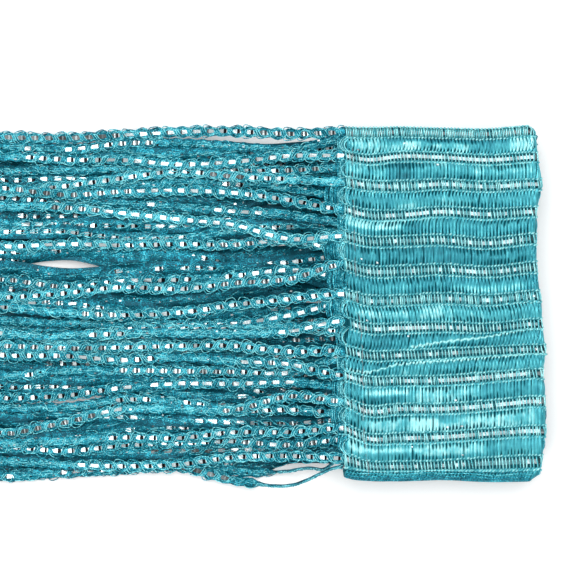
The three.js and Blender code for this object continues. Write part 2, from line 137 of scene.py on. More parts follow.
# Courses of the strings of the upper layers, layer by layer in the order of their roots: y at each
# step from the band
COURSE_STEP = 20
COURSES = [
    [
        (60.3, 61.4, 61.2, 60.1, 59.0, 59.2), (52.4, 50.4, 49.5, 51.1, 51.2, 52.5),
        (44.1, 45.1, 47.0, 44.6, 41.8, 39.5), (36.5, 39.2, 40.1, 39.7, 38.5, 40.6),
        (22.5, 27.6, 29.7, 31.9, 33.8, 34.2), (8.1, 6.6, 4.5, 5.2, 3.1, 1.5),
        (0.9, -1.3, -4.1, -4.9, -4.1, -2.3), (-10.7, -11.5, -11.3, -11.7, -12.2, -11.7),
        (-18.0, -16.0, -16.1, -16.6, -16.9, -16.2), (-22.6, -21.6, -20.0, -21.2, -19.7, -19.6),
        (-34.2, -39.1, -39.1, -38.8, -43.5, -47.7), (-47.0, -47.2, -49.3, -49.2, -50.5, -51.5),
        (-55.6, -56.3, -58.9, -59.6, -59.0, -58.0),
    ],
    [
        (-66.4, -64.6, -59.9, -60.5, -61.7, -63.4), (-51.7, -50.6, -51.3, -52.0, -54.0, -52.6),
        (-39.0, -39.4, -36.2, -35.5, -38.3, -38.3), (-29.0, -29.7, -29.7, -31.1, -33.9, -35.1),
        (-25.7, -25.4, -25.2, -24.9, -25.2, -27.1), (-9.1, -9.9, -9.9, -10.3, -14.2, -12.4),
        (-5.0, -8.1, -8.5, -8.5, -7.7, -7.4), (11.3, 9.2, 7.9, 7.4, 5.2, 7.7),
        (22.1, 20.5, 20.7, 20.3, 20.7, 19.8), (31.3, 32.6, 34.4, 35.5, 35.3, 37.3),
        (40.9, 42.3, 43.4, 41.9, 40.1, 38.0), (47.2, 47.3, 48.2, 48.1, 47.3, 47.0),
        (54.9, 56.0, 57.2, 57.1, 54.9, 55.6),
    ],
    [
        (53.8, 53.8, 52.7, 54.2, 53.8, 54.5), (45.9, 47.0, 45.2, 43.4, 44.5, 43.7),
        (32.2, 29.7, 27.4, 27.3, 27.7, 27.9), (26.8, 26.1, 23.1, 22.7, 25.2, 25.0),
        (14.2, 13.3, 17.5, 16.6, 18.2, 17.8), (10.6, 11.7, 12.1, 11.0, 9.5, 12.1),
        (-2.7, -3.8, -4.5, -3.4, -0.7, -0.2), (-13.9, -13.1, -13.9, -14.2, -14.6, -14.2),
        (-20.0, -18.5, -18.2, -18.9, -17.5, -17.8), (-35.3, -30.1, -28.6, -28.6, -27.9, -26.8),
        (-44.1, -43.7, -42.7, -41.8, -40.9, -40.7), (-53.3, -53.8, -54.1, -54.6, -54.2, -52.7),
    ],
    [
        (-61.4, -61.4, -58.4, -60.7, -61.9, -63.0), (-48.4, -46.3, -45.5, -46.6, -49.5, -50.2),
        (-41.5, -41.0, -40.2, -43.4, -46.5, -44.4), (-31.6, -34.5, -33.0, -32.2, -30.9, -31.1),
        (-22.8, -23.6, -22.7, -23.2, -22.5, -23.2), (-7.0, -6.2, -6.9, -6.4, -10.3, -9.6),
        (4.5, 2.8, 0.3, 0.9, 1.2, 4.4), (12.4, 9.0, 9.6, 9.3, 7.2, 9.9),
        (18.1, 16.9, 14.9, 13.7, 17.4, 15.0), (29.6, 31.0, 31.9, 33.0, 30.8, 31.1),
        (38.7, 36.0, 37.2, 37.5, 36.9, 38.9), (49.8, 49.0, 50.2, 50.6, 49.5, 49.8),
    ],
]
TABLE_END = 6 * COURSE_STEP
# A string further down comes to lie under one of those: how far beside it, and over what stretch
FOLLOW = {"beside": 1.3, "start": 8, "end": 36}
# From this layer on a string lies under the second nearest of them
SECOND_HOST_FROM = 5
# Strings that lie beside another one than the nearest
COMPANIONS = table("string host beside", (62, 38, 2.2))
# Strings that leave the band at a slant, and how soon they reach their course
SLANTED = (38,)
SLANTED_BY = 9
# Past the table the strings spread until they lie evenly, and all sway together
FAR_WIDTH = 124
FAR_WAVE = {"size": 1.5, "length": 150}
PILE_STATIONS = np.concatenate([np.arange(0, 130, 2.5), np.arange(130, 264, 8.0)])

# How a string twists along its course, in radians: slowly, quickly, and where it stands on edge,
# which is given by its number and by how far from the band that starts and ends
SLOW_TWIST = {"size": 0.22, "length": 61}
QUICK_TWIST = {"size": 0.16, "radius": 4.3}
EDGE_TWIST = {"size": 1.35, "before": 6, "after": 8}
ON_EDGE = table("string start end", (13, 2, 28), (38, 2, 24))
TWIST_LIFT = 0.5
ROOT_EASE = 12

# A string's make: two bundles of yarn that cross between the windows in which a strip of foil
# shows, over a knitted core. Places along a string count periods, and each whole number is the
# middle of a window. A deep string is one that lies under others, and its yarns lie loose.
PERIOD = 4.86
GRADES = {
    "fine": {"radius": 0.2, "shares": (1.0, 0.81, 0.62), "steps": 10, "columns": 5},
    "medium": {"radius": 0.24, "shares": (1.0, 0.7), "steps": 8, "columns": 5},
    "plain": {"radius": 0.3, "shares": (0.9,), "steps": 6, "columns": 3},
}
NEAR_END = 128
REACH = 2.15
REACH_EASE = 2.2
CROSSING_LIFT = 0.5
CROSSING_EASE = 2.2
STANDOFF = 0.08
FAN = 0.18
WOBBLE = 0.3
SLOW_LOOPS = {"size": 0.6, "rate": 1.9}
QUICK_LOOPS = {"size": 0.4, "rate": 4.3}
LOOSE_WOBBLE = 0.2
LOOSE_STRAY = 0.26
LOOSE_DRAW = 0.4
LOOSE_NARROWING = 0.3
DEEP_SWAY = 0.45
CORE_STEPS = 4
CORE_WINDOW = 2.0
CORE_CROSSING = 1.5
DEEP_CORE = 2.5
CORE_DROP = 0.42

# Tones, from 0 in the darkest yarn to 1 in the lightest: of each layer's strings, with painted
# shade that darkens the deeper layers, what single strings add to it, and what yarns, loose yarns,
# the core and the roots' shade do. The shade of the core, its edges and the roots is painted shade.
LAYER_TONES_AND_SHADE = [0.58, 0.51, 0.37, 0.3, 0.24, 0.22, 0.22]
TONE_SPREAD = 0.08
TONE_SHIFTS = {11: -0.05, 13: 0.06, 14: -0.05, 22: -0.08, 38: 0.06}
YARN_TONES = (0.0, 0.4)
FLICKER = 0.13
# Painted highlight where the yarns cross the string's middle, painted shade at the loops' outer
# edges, and the share of both that loose yarns lose
CROSSING_GLOW = 0.18
OUTER_SHADE = 0.15
LOOSE_PAINTED_LIGHT_DAMPING = 0.6
CORE_SHADE = 0.22
CORE_EDGE_SHADE = 0.2
VEIL_GLOW = 0.2
ROOT_SHADE = {"tone": 0.22, "x": (8, 40)}

# The strip of foil, and what shows of it in a window from its start to its end: tones, which paint
# the silver's reflections of light and dark, and shares of the window's length
FOIL_WIDTH = 1.62
FOIL_LEVEL = 0.12
VEIL_LEVEL = 0.04
WINDOW = 0.6
WINDOW_TAPER = 0.35
FIRST_WINDOW = 0.15
LAST_WINDOW = 0.5
WINDOW_LENGTHS = (0.85, 1.1)
WINDOW_STRAY = 0.03
SHARE_SPREAD = (0.8, 1.2)
VEIL_GAPS = (0.01, 0.04)
VEIL_SHADE = 0.2
FOIL_TONE_SPREAD = (-0.08, 0.02)
FOIL_CRINKLE = (-0.03, 0.05)
FOIL_TILT = 0.07
VEIL = -1.0
FOIL_AND_REFLECTION_TONES = {"black": 0.0, "dark": 0.14, "rose": 0.3, "grey": 0.68, "white": 0.96}
WINDOW_STYLES = [
    (("white", 0.12), ("black", 0.32), ("white", 0.56)),
    (("black", 0.42), ("white", 0.46), ("dark", 0.12)),
    (("white", 0.2), ("dark", 0.14), ("rose", 0.18), ("white", 0.2), ("dark", 0.1), ("grey", 0.18)),
    (("dark", 0.1), ("white", 0.9)),
    (("white", 0.8), ("rose", 0.2)),
    (("grey", 0.2), ("rose", 0.2), ("white", 0.15), ("rose", 0.2), ("grey", 0.15), ("dark", 0.1)),
    (("rose", 0.4), ("grey", 0.2), ("rose", 0.4)),
]
STYLE_ODDS = (0.34, 0.22, 0.16, 0.14, 0.06, 0.06, 0.02)
# The style of dim painted reflections, in rose and grey
DIM_REFLECTION_STYLE = 6
# Odds that a window is like the one before it, in its style and in whether it shows
STYLE_RUN = 0.8
SHINE_RUN = 0.7

# Share of the windows that show their foil, at three places and then beyond them all, for the
# strings of the upper layers in the order of their roots, and for all the others
SHINE_PLACES = (20, 62, 104, 150)
SHINE_BEYOND = 0.6
SHINE_GAIN = 1.05
DEEP_SHINE = 0.2
SHINE = [
    [
        (0.8, 0.5, 0.5), (0.8, 0.85, 0.2), (0.7, 0.8, 0.2), (1.0, 0.95, 0.95), (0.95, 1.0, 0.9),
        (0.9, 0.85, 0.95), (1.0, 0.7, 0.6), (0.6, 0.95, 0.3), (1.0, 0.9, 1.0), (0.95, 0.5, 0.95),
        (0.9, 0.8, 0.9), (1.0, 0.6, 0.1), (0.95, 0.95, 0.1),
    ],
    [
        (0.1, 0.8, 0.6), (0.95, 0.6, 0.2), (0.8, 0.6, 0.2), (0.8, 0.6, 0.8), (0.3, 0.3, 0.4),
        (0.6, 0.5, 0.4), (0.7, 0.5, 0.05), (0.9, 0.5, 0.95), (1.0, 0.95, 0.95), (0.5, 0.1, 0.6),
        (0.5, 0.3, 0.1), (0.3, 0.2, 0.4), (0.05, 0.4, 0.05),
    ],
    [
        (0.4, 0.4, 0.3), (0.4, 0.4, 0.3), (0.4, 0.5, 0.95), (0.4, 0.4, 0.95), (0.95, 0.4, 0.4),
        (0.4, 0.4, 0.4), (0.4, 0.4, 0.4), (0.4, 0.4, 0.4), (0.4, 0.4, 0.4), (0.4, 0.4, 0.3),
        (0.9, 0.95, 0.6), (0.4, 0.95, 0.2),
    ],
    [(0.1, 0.8, 0.5)],
]

# Stretches where the foil's painted reflections are dim, with no white: the string's number, and
# how far from the band each starts and ends
DIM_REFLECTION_STRETCHES = table("string start end", (0, 84, 140), (13, 28, 60), (38, 28, 80), (2, 34, 52))

# Bits of foil that show between the loose yarns where a window is closed, with painted reflections
# for their tones
GLINT_ODDS = 0.8
GLINT_PLACE = 0.4
GLINT_LENGTHS = (0.08, 0.2)
GLINT_HALF_WIDTHS = (0.15, 0.35)
GLINT_ASIDE = 1.3
GLINT_LEVELS = (0.1, 0.4)
GLINT_TILT = 0.06
GLINT_REFLECTIONS = ("white", "grey", "grey", "black")

# The photo's picture and the camera above it
PIXEL = 0.36
PICTURE_WIDTH = 576 * PIXEL
PICTURE_MIDDLE = (-20.5, 4.86)
MEASURED_HEIGHT = 12
LENS = 300
SENSOR = 36


def world(points):
    """Millimetres in the band's frame as the frame's metres."""
    low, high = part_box("heading")
    left = min(layer["edge"] for layer in LAYERS)
    top = TOP_RIBS[0]["right"] + SELVAGE
    origin = np.array([low.x - left * MM, high.y - top * MM, 0.0])
    return np.asarray(points, float) * MM + origin


def fraction(value):
    return value - np.floor(value)


def smoothstep(value, start, end):
    share = np.clip((value - start) / (end - start), 0, 1)
    return share * share * (3 - 2 * share)


def between(value, span, edge):
    """1 inside a span, falling to 0 within edge of its ends."""
    inside = smoothstep(value, span[0] - edge, span[0] + edge)
    return inside * smoothstep(-value, -span[1] - edge, -span[1] + edge)


def hermite(p, q, m, n, t):
    """A curve from p to q that leaves with slope m and arrives with slope n."""
    return p + m * t + (3 * (q - p) - 2 * m - n) * t**2 + (m + n - 2 * (q - p)) * t**3


def wave(row, along, turn=0.0):
    """A sine whose length is that of a whole wave."""
    return row["size"] * np.sin(2 * np.pi * along / row["length"] + turn)


def ripple(row, along, turn=0.0):
    """A sine whose radius is the stretch of one radian."""
    return row["size"] * np.sin(along / row["radius"] + turn)


def unit(vectors):
    return vectors / (np.linalg.norm(vectors, axis=-1, keepdims=True) + 1e-9)


def sides_of(path):
    """Directions across a path and above it."""
    tangent = unit(np.gradient(path, axis=-2))
    across = unit(np.cross(tangent, UP))
    return across, np.cross(across, tangent)


def listed(rows, layer, order, default=None):
    """What a table of layers holds for one string, where it goes so far."""
    known = rows[layer] if layer < len(rows) else []
    return known[order] if order < len(known) else default


def direction(layer):
    return -1 if layer % 2 == 0 else 1


def layer_z(layer):
    return HALF_LAYER + (len(LAYERS) - 1 - layer) * LAYER_PITCH


def grid_faces(rows, columns):
    """Faces of a grid of points, rows by columns."""
    first = np.arange(rows - 1)[:, None] * columns + np.arange(columns - 1)
    return np.stack([first, first + columns, first + columns + 1, first + 1], axis=-1)


def ring_faces(rings):
    """Faces between closed rings of points, given by their numbers."""
    here, there = rings[..., :-1, :], rings[..., 1:, :]
    corners = [here, np.roll(here, -1, -1), np.roll(there, -1, -1), there]
    return np.stack(corners, axis=-1)


class Parts:
    """Collects the points and four-cornered faces of one object."""

    def __init__(self):
        self.points = []
        self.faces = []
        self.tones = []
        self.places = []
        self.kinds = []
        self.count = 0

    def add(self, points, faces, tone, kind=0, place=(0.0, 0.0)):
        """tone shades each point, kind is the number of its material, and place its (u, v)."""
        total = points.size // 3
        self.points.append(points.reshape(-1, 3))
        self.faces.append(faces.reshape(-1, 4) + self.count)
        self.tones.append(np.broadcast_to(np.asarray(tone, float).ravel(), (total,)))
        self.places.append(np.broadcast_to(np.asarray(place, float).reshape(-1, 2), (total, 2)))
        self.kinds.append(np.full(faces.size // 4, kind))
        self.count += total

    def add_tubes(self, paths, radius, tone, sides=3, kind=0):
        """Yarns along paths, an array of (path, point, xyz), drawn in at their ends."""
        across, above = (each[:, :, None] for each in sides_of(paths))
        angle = (2 * np.pi * np.arange(sides) / sides + np.pi / 2)[:, None]
        size = np.broadcast_to(np.asarray(radius, float), paths.shape[:2]).copy()
        size[:, [0, -1]] *= TUBE_END
        ring = np.cos(angle) * across + np.sin(angle) * above
        points = paths[:, :, None] + size[:, :, None, None] * ring
        faces = ring_faces(np.arange(points.size // 3).reshape(points.shape[:3]))
        tone = np.broadcast_to(np.asarray(tone, float)[..., None], points.shape[:3])
        self.add(points, faces, tone, kind)

    def add_facets(self, corners, tones, kind=1):
        """Four-cornered facets: an array for each corner, and a tone for each facet."""
        corners = np.stack(corners, axis=1)
        self.add(corners, np.arange(corners.size // 3), np.repeat(tones, 4), kind)

    def build(self, name, materials, flat_kinds=()):
        faces = np.concatenate(self.faces)
        kinds = np.concatenate(self.kinds)
        mesh = bpy.data.meshes.new(name)
        mesh.vertices.add(self.count)
        points = world(np.concatenate(self.points)).astype(np.float32)
        mesh.vertices.foreach_set("co", points.ravel())
        mesh.loops.add(faces.size)
        mesh.loops.foreach_set("vertex_index", faces.astype(np.int32).ravel())
        mesh.polygons.add(len(faces))
        mesh.polygons.foreach_set("loop_start", np.arange(0, faces.size, 4, dtype=np.int32))
        mesh.polygons.foreach_set("material_index", kinds.astype(np.int32))
        mesh.polygons.foreach_set("use_smooth", ~np.isin(kinds, flat_kinds))
        tone = mesh.attributes.new("tone", "FLOAT", "POINT")
        tone.data.foreach_set("value", np.concatenate(self.tones).astype(np.float32))
        place = np.concatenate(self.places)[faces.ravel()]
        layer = mesh.uv_layers.new(name="cloth")
        layer.data.foreach_set("uv", place.astype(np.float32).ravel())
        for material in materials:
            mesh.materials.append(material)
        mesh.update(calc_edges=True)
        piece = bpy.data.objects.new(name, mesh)
        bpy.context.scene.collection.objects.link(piece)
        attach(piece, "root")
        return piece


# Strings: where each one runs


def knot_curve(knots, x):
    knots = np.asarray(knots, float)
    last = len(knots) - 1
    slope = np.concatenate([[0.0], (knots[2:] - knots[:-2]) / 2, [knots[-1] - knots[-2]]])
    at = np.clip(np.asarray(x, float) / COURSE_STEP, 0, last)
    i = np.minimum(np.floor(at).astype(int), last - 1)
    return hermite(knots[i], knots[i + 1], slope[i], slope[i + 1], at - i)


def table_y(string, x):
    root = string["root"]
    if "host" in string:
        beside = table_y(string["host"], x) + string["beside"]
        return root + (beside - root) * smoothstep(x, FOLLOW["start"], FOLLOW["end"])
    y = knot_curve(string["knots"], x)
    if string["number"] not in SLANTED:
        return y
    early = root + (string["knots"][1] - root) * smoothstep(x, 0, SLANTED_BY)
    return early + (y - early) * smoothstep(x, SLANTED_BY / 2, COURSE_STEP)


def course_y(string, x):
    x = np.asarray(x, float)
    near = table_y(string, np.minimum(x, TABLE_END))
    past = np.maximum(x - TABLE_END, 0)
    share = smoothstep(x, TABLE_END, STRING_LENGTH)
    return near + (string["far"] - near) * share + wave(FAR_WAVE, past)


def list_strings():
    strings = []
    for layer, row in enumerate(LAYERS):
        for i in range(row["ribs"]):
            number = len(strings)
            below = row["first"] + direction(layer) * RIB_PITCH * i
            string = {
                "layer": layer,
                "number": number,
                "root": TOP_RIBS[i]["edge"] if layer == 0 else below,
                "edge": row["edge"],
                "turn": i % 2,
                "phase": 2 * math.pi * fraction(number * GOLDEN),
                "length": STRING_LENGTH - END_SPREAD * fraction(number * GOLDEN * GOLDEN),
                "shine": listed(SHINE, layer, i, (DEEP_SHINE,) * 3),
                "far": 0.0,
            }
            knots = listed(COURSES, layer, i)
            if knots:
                string["knots"] = [string["root"], *knots]
            strings.append(string)
    hosts = [string for string in strings if "knots" in string]
    for string in strings:
        if "knots" not in string:
            nearest = sorted(hosts, key=lambda host: abs(host["knots"][2] - string["root"]))
            string["host"] = nearest[1 if string["layer"] >= SECOND_HOST_FROM else 0]
            string["beside"] = FOLLOW["beside"] * math.sin(string["phase"])
    for row in COMPANIONS:
        strings[row["string"]].update(host=strings[row["host"]], beside=row["beside"])
    across = sorted(strings, key=lambda string: float(table_y(string, TABLE_END)))
    for rank, string in enumerate(across):
        string["far"] = FAR_WIDTH * (rank / (len(across) - 1) - 0.5)
    return strings


def lay_strings(strings):
    """Strings are laid from the bottom layer up, and each rests on the floor or on others."""
    x = PILE_STATIONS
    loose = x > ROOT_LEVEL
    fall = CROSSING_SLOPE * np.abs(x[:, None] - x[None, :])
    laid = []
    for string in sorted(strings, key=lambda each: (-each["layer"], each["turn"])):
        y = course_y(string, x)
        support = np.zeros(len(x))
        for other_y, other_z in laid:
            before = (y - other_y)[:-1]
            after = (y - other_y)[1:]
            apart = np.minimum(np.abs(before), np.abs(after))
            apart = np.where(before * after <= 0, 0.0, apart)
            near = (apart < STRING_WIDTH + STRING_GAP) & loose[:-1]
            rise = np.clip(2 - 2 * apart / STRING_WIDTH, 0, 1) * STRING_HEIGHT + STRING_GAP
            for end in (slice(None, -1), slice(1, None)):
                held = np.where(near, other_z[end] + rise, 0.0)
                support[end] = np.maximum(support[end], held)
        root = layer_z(string["layer"]) - STRING_HEIGHT / 2
        held = (support[None, :] - fall).max(axis=1)
        lie = np.maximum(root - SAG_SLOPE * (x - ROOT_LEVEL), held)
        string["z"] = np.where(loose, np.maximum(lie, 0.0), root)
        laid.append((y, string["z"]))


# Strings: their yarns and foil


def string_frame(string, at):
    """The middle of a string at places counted in periods, and the directions across it and off
    its face."""
    x = (at - string["shift"]) * PERIOD
    phase = string["phase"]
    turn = wave(SLOW_TWIST, x, 3 * phase) + ripple(QUICK_TWIST, x, 5 * phase)
    for row in ON_EDGE:
        if row["string"] == string["number"]:
            inside = smoothstep(x, row["start"] - EDGE_TWIST["before"], row["start"])
            inside = inside - smoothstep(x, row["end"], row["end"] + EDGE_TWIST["after"])
            turn = turn + (EDGE_TWIST["size"] - turn) * inside
    root = string["edge"] * (1 - smoothstep(x, 0, ROOT_EASE))
    z = np.interp(x, PILE_STATIONS, string["z"]) + STRING_HEIGHT / 2
    z = z + TWIST_LIFT * np.abs(np.sin(turn))
    middle = np.stack([root - x, course_y(string, x), z], axis=-1)
    across, above = sides_of(middle)
    cos, sin = np.cos(turn)[:, None], np.sin(turn)[:, None]
    return middle, cos * across + sin * above, cos * above - sin * across


def places_along(string, start, end, steps):
    """Places from start to end in millimetres, with so many steps a period."""
    first, last = (distance / PERIOD + string["shift"] for distance in (start, end))
    inner = np.arange(math.ceil(first * steps), math.floor(last * steps) + 1) / steps
    return np.unique(np.concatenate([[first], inner, [last]]))


def swing(at):
    """From 1 to -1 and back as a bundle goes from one side of its string to the other."""
    return np.tanh(REACH_EASE * np.cos(np.pi * at)) / math.tanh(REACH_EASE)


def wobble(string, at, order):
    """Uneven loops: from -1 to 1, with another course for each yarn."""
    turn = string["phase"] * (3 + order)
    slow = SLOW_LOOPS["size"] * np.sin(SLOW_LOOPS["rate"] * at + turn)
    return slow + QUICK_LOOPS["size"] * np.sin(QUICK_LOOPS["rate"] * at + 2 * turn)


def in_dim_reflections(string, x):
    rows = [row for row in DIM_REFLECTION_STRETCHES if row["string"] == string["number"]]
    return any(row["start"] < x < row["end"] for row in rows)


def plan_windows(string, rng):
    """Which windows of a string show their foil, and in which style each of them does."""
    first = math.ceil(string["shift"] + FIRST_WINDOW)
    last = math.floor(string["length"] / PERIOD + string["shift"] - LAST_WINDOW)
    windows = np.arange(first, last)
    places = (windows - string["shift"]) * PERIOD
    odds = SHINE_GAIN * np.interp(places, SHINE_PLACES, (*string["shine"], SHINE_BEYOND))
    shows = rng.random() < odds[0]
    style = rng.choice(len(WINDOW_STYLES), p=STYLE_ODDS)
    plan = []
    for window, x, odd in zip(windows, places, odds):
        if rng.random() > SHINE_RUN:
            shows = rng.random() < odd
        if rng.random() > STYLE_RUN:
            style = rng.choice(len(WINDOW_STYLES), p=STYLE_ODDS)
        plan.append((window, bool(shows), DIM_REFLECTION_STYLE if in_dim_reflections(string, x) else style))
    return plan


def looseness(string, at):
    """0 where a string's windows are open, and 1 where its yarns lie loose over them."""
    windows, shows, _ = zip(*string["plan"])
    return 1 - np.interp(at, windows, np.array(shows, float))


def shade_at(string, at):
    """How much darker the deep strings are under the ones that spread out of the band."""
    x = (at - string["shift"]) * PERIOD
    return string["deep"] * ROOT_SHADE["tone"] * (1 - smoothstep(x, *ROOT_SHADE["x"]))


def add_core(parts, string, grade, start, end):
    """The knitted middle of a string: a domed ribbon that is widest at the windows."""
    at = places_along(string, start, end, CORE_STEPS)
    middle, across, off = string_frame(string, at)
    side = np.linspace(-1, 1, grade["columns"])
    open_share = 0.5 + 0.5 * np.cos(2 * np.pi * at)
    half = CORE_CROSSING + (CORE_WINDOW - CORE_CROSSING) * open_share
    half = np.full(len(at), DEEP_CORE) if string["deep"] else half
    v = half[:, None] * side
    w = np.broadcast_to(-CORE_DROP * side**2, v.shape)
    points = middle[:, None] + v[..., None] * across[:, None] + w[..., None] * off[:, None]
    veil = (1 - open_share[:, None]) * (1 - np.abs(side)) * string["veil"]
    tone = string["tone"] - CORE_SHADE - CORE_EDGE_SHADE * side**2
    tone = tone + veil - shade_at(string, at)[:, None]
    place = np.stack([np.broadcast_to(at[:, None], v.shape), v], axis=-1)
    parts.add(points, grid_faces(len(at), len(side))[..., ::-1], tone, place=place)


def add_yarns(parts, string, grade, start, end, rng):
    """The two bundles, each in front at every second crossing."""
    at = places_along(string, start, end, grade["steps"])
    middle, across, off = string_frame(string, at)
    loose = looseness(string, at)
    paths, glows = [], []
    for bundle in (1, -1):
        for order, share in enumerate(grade["shares"]):
            fan = FAN * (order - (len(grade["shares"]) - 1) / 2)
            fan = fan + LOOSE_STRAY * loose * wobble(string, at / 2, order)
            uneven = 1 + (WOBBLE + LOOSE_WOBBLE * loose) * wobble(string, at, order + 2 * bundle)
            sway = bundle * string["hand"] * swing(at + fan) * uneven * (1 - LOOSE_DRAW * loose)
            if string["deep"]:
                stray = wobble(string, at / 3, 2 * order + bundle)
                sway = DEEP_SWAY * sway + (1 - DEEP_SWAY) * stray
            front = bundle * np.sin(np.pi * (at + fan))
            nearness = np.exp(-((CROSSING_EASE * sway) ** 2))
            lift = STANDOFF + (CROSSING_LIFT * front - STANDOFF) * nearness
            reach = REACH * (share - LOOSE_NARROWING * order * loose) * sway
            paths.append(middle + reach[:, None] * across + lift[:, None] * off)
            # Painted highlight where a yarn crosses the string's middle and painted shade at the
            # loops' outer edges, both weaker where the yarns lie loose
            glow = CROSSING_GLOW * (1 - np.minimum(sway**2, 1))
            glow = glow - OUTER_SHADE * np.abs(swing(at)) ** 6
            glows.append(glow * (1 - LOOSE_PAINTED_LIGHT_DAMPING * loose))
    tone = string["tone"] + rng.uniform(*YARN_TONES, (len(paths), 1)) + np.stack(glows)
    tone = tone - shade_at(string, at) + rng.normal(0, FLICKER, tone.shape)
    parts.add_tubes(np.stack(paths), grade["radius"], tone)


def add_strips(parts, string, bounds, shape, tones, kind=1):
    """Facets that each lie between two bounds along a string. Their shape is given at both bounds:
    how far beside the middle, half their width, their level, and how much that tilts."""
    middle, across, off = string_frame(string, np.ravel(bounds))
    aside, half, level, tilt = shape
    low, high = (
        middle + (aside + side * half)[:, None] * across + (level + side * tilt)[:, None] * off
        for side in (-1, 1)
    )
    parts.add_facets([low[::2], low[1::2], high[1::2], high[::2]], tones, kind)


def add_foil(parts, string, rng):
    """The foil: facets of its own tone in each window that shows, and a veiled one between."""
    bounds, tones, levels, widths, glints = [], [], [], [], []
    for window, shows, style in string["plan"]:
        length = WINDOW * rng.uniform(*WINDOW_LENGTHS)
        place = window - length / 2 + rng.uniform(-WINDOW_STRAY, WINDOW_STRAY)
        if not shows:
            if rng.random() < GLINT_ODDS:
                place = window + rng.uniform(-GLINT_PLACE, GLINT_PLACE)
                glints.append((place, place + rng.uniform(*GLINT_LENGTHS)))
            continue
        for name, share in WINDOW_STYLES[style]:
            share *= rng.uniform(*SHARE_SPREAD)
            bounds.append((place, place + share * length))
            tones.append(FOIL_AND_REFLECTION_TONES[name] + rng.uniform(*FOIL_TONE_SPREAD))
            levels.append(FOIL_LEVEL)
            for end in bounds[-1]:
                widths.append(1 - WINDOW_TAPER * min(2 * abs(end - window) / WINDOW, 1) ** 3)
            place += share * length
        bounds.append((place + VEIL_GAPS[0], window + 1 - WINDOW / 2 - VEIL_GAPS[1]))
        tones.append(VEIL)
        levels.append(VEIL_LEVEL)
        widths += [1, 1]
    if glints:
        add_glints(parts, string, glints, rng)
    if bounds:
        level = np.repeat(levels, 2) + rng.uniform(*FOIL_CRINKLE, len(widths))
        tilt = rng.uniform(-FOIL_TILT, FOIL_TILT, len(widths))
        veiled = np.array(tones) == VEIL
        tones = np.where(veiled, string["tone"] - VEIL_SHADE, tones)
        shape = (0, FOIL_WIDTH / 2 * np.array(widths), level, tilt)
        add_strips(parts, string, bounds, shape, tones, np.where(veiled, 0, 1))


def add_glints(parts, string, glints, rng):
    count = len(glints)
    aside = np.repeat(rng.uniform(-GLINT_ASIDE, GLINT_ASIDE, count), 2)
    level = np.repeat(rng.uniform(*GLINT_LEVELS, count), 2)
    half = rng.uniform(*GLINT_HALF_WIDTHS, 2 * count)
    tones = [FOIL_AND_REFLECTION_TONES[name] for name in rng.choice(GLINT_REFLECTIONS, count)]
    add_strips(parts, string, glints, (aside, half, level, GLINT_TILT), tones)


def make_strings(materials):
    strings = list_strings()
    lay_strings(strings)
    rng = np.random.default_rng(11)
    pieces = []
    for layer in range(len(LAYERS)):
        parts = Parts()
        for string in strings:
            if string["layer"] != layer:
                continue
            on_edge = string["number"] in [row["string"] for row in ON_EDGE]
            string["deep"] = layer > 1 and not on_edge
            string["shift"] = string["phase"] / (2 * math.pi)
            # Painted shade: the deeper a layer, the darker its strings' tone; a string on edge
            # takes the second layer's
            tone = LAYER_TONES_AND_SHADE[1 if on_edge else layer] + rng.uniform(-TONE_SPREAD, TONE_SPREAD)
            string["tone"] = tone + TONE_SHIFTS.get(string["number"], 0)
            string["veil"] = VEIL_GLOW * max(string["shine"])
            string["hand"] = 1 if string["number"] % 3 else -1
            string["plan"] = plan_windows(string, rng)
            name = "fine" if not string["deep"] else "medium" if "knots" in string else "plain"
            for grade, start, end in (
                (GRADES[name], 0, NEAR_END),
                (GRADES["plain"], NEAR_END, string["length"]),
            ):
                add_core(parts, string, grade, start, end)
                add_yarns(parts, string, grade, start, end, rng)
            add_foil(parts, string, rng)
        piece = parts.build(f"strings_of_layer_{layer + 1}", materials, (1,))
        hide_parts("strings")
        pieces.append(piece)
    return pieces


# Heading: where its cloth runs


def table_row(row, shift=0.0):
    return [row[name] + shift for name in COLUMNS]


def top_reach(y):
    """How far the top layer reaches at some y, near its fold."""
    return np.interp(-y, [-row["right"] for row in TOP_RIBS], [row["reach"] for row in TOP_RIBS])


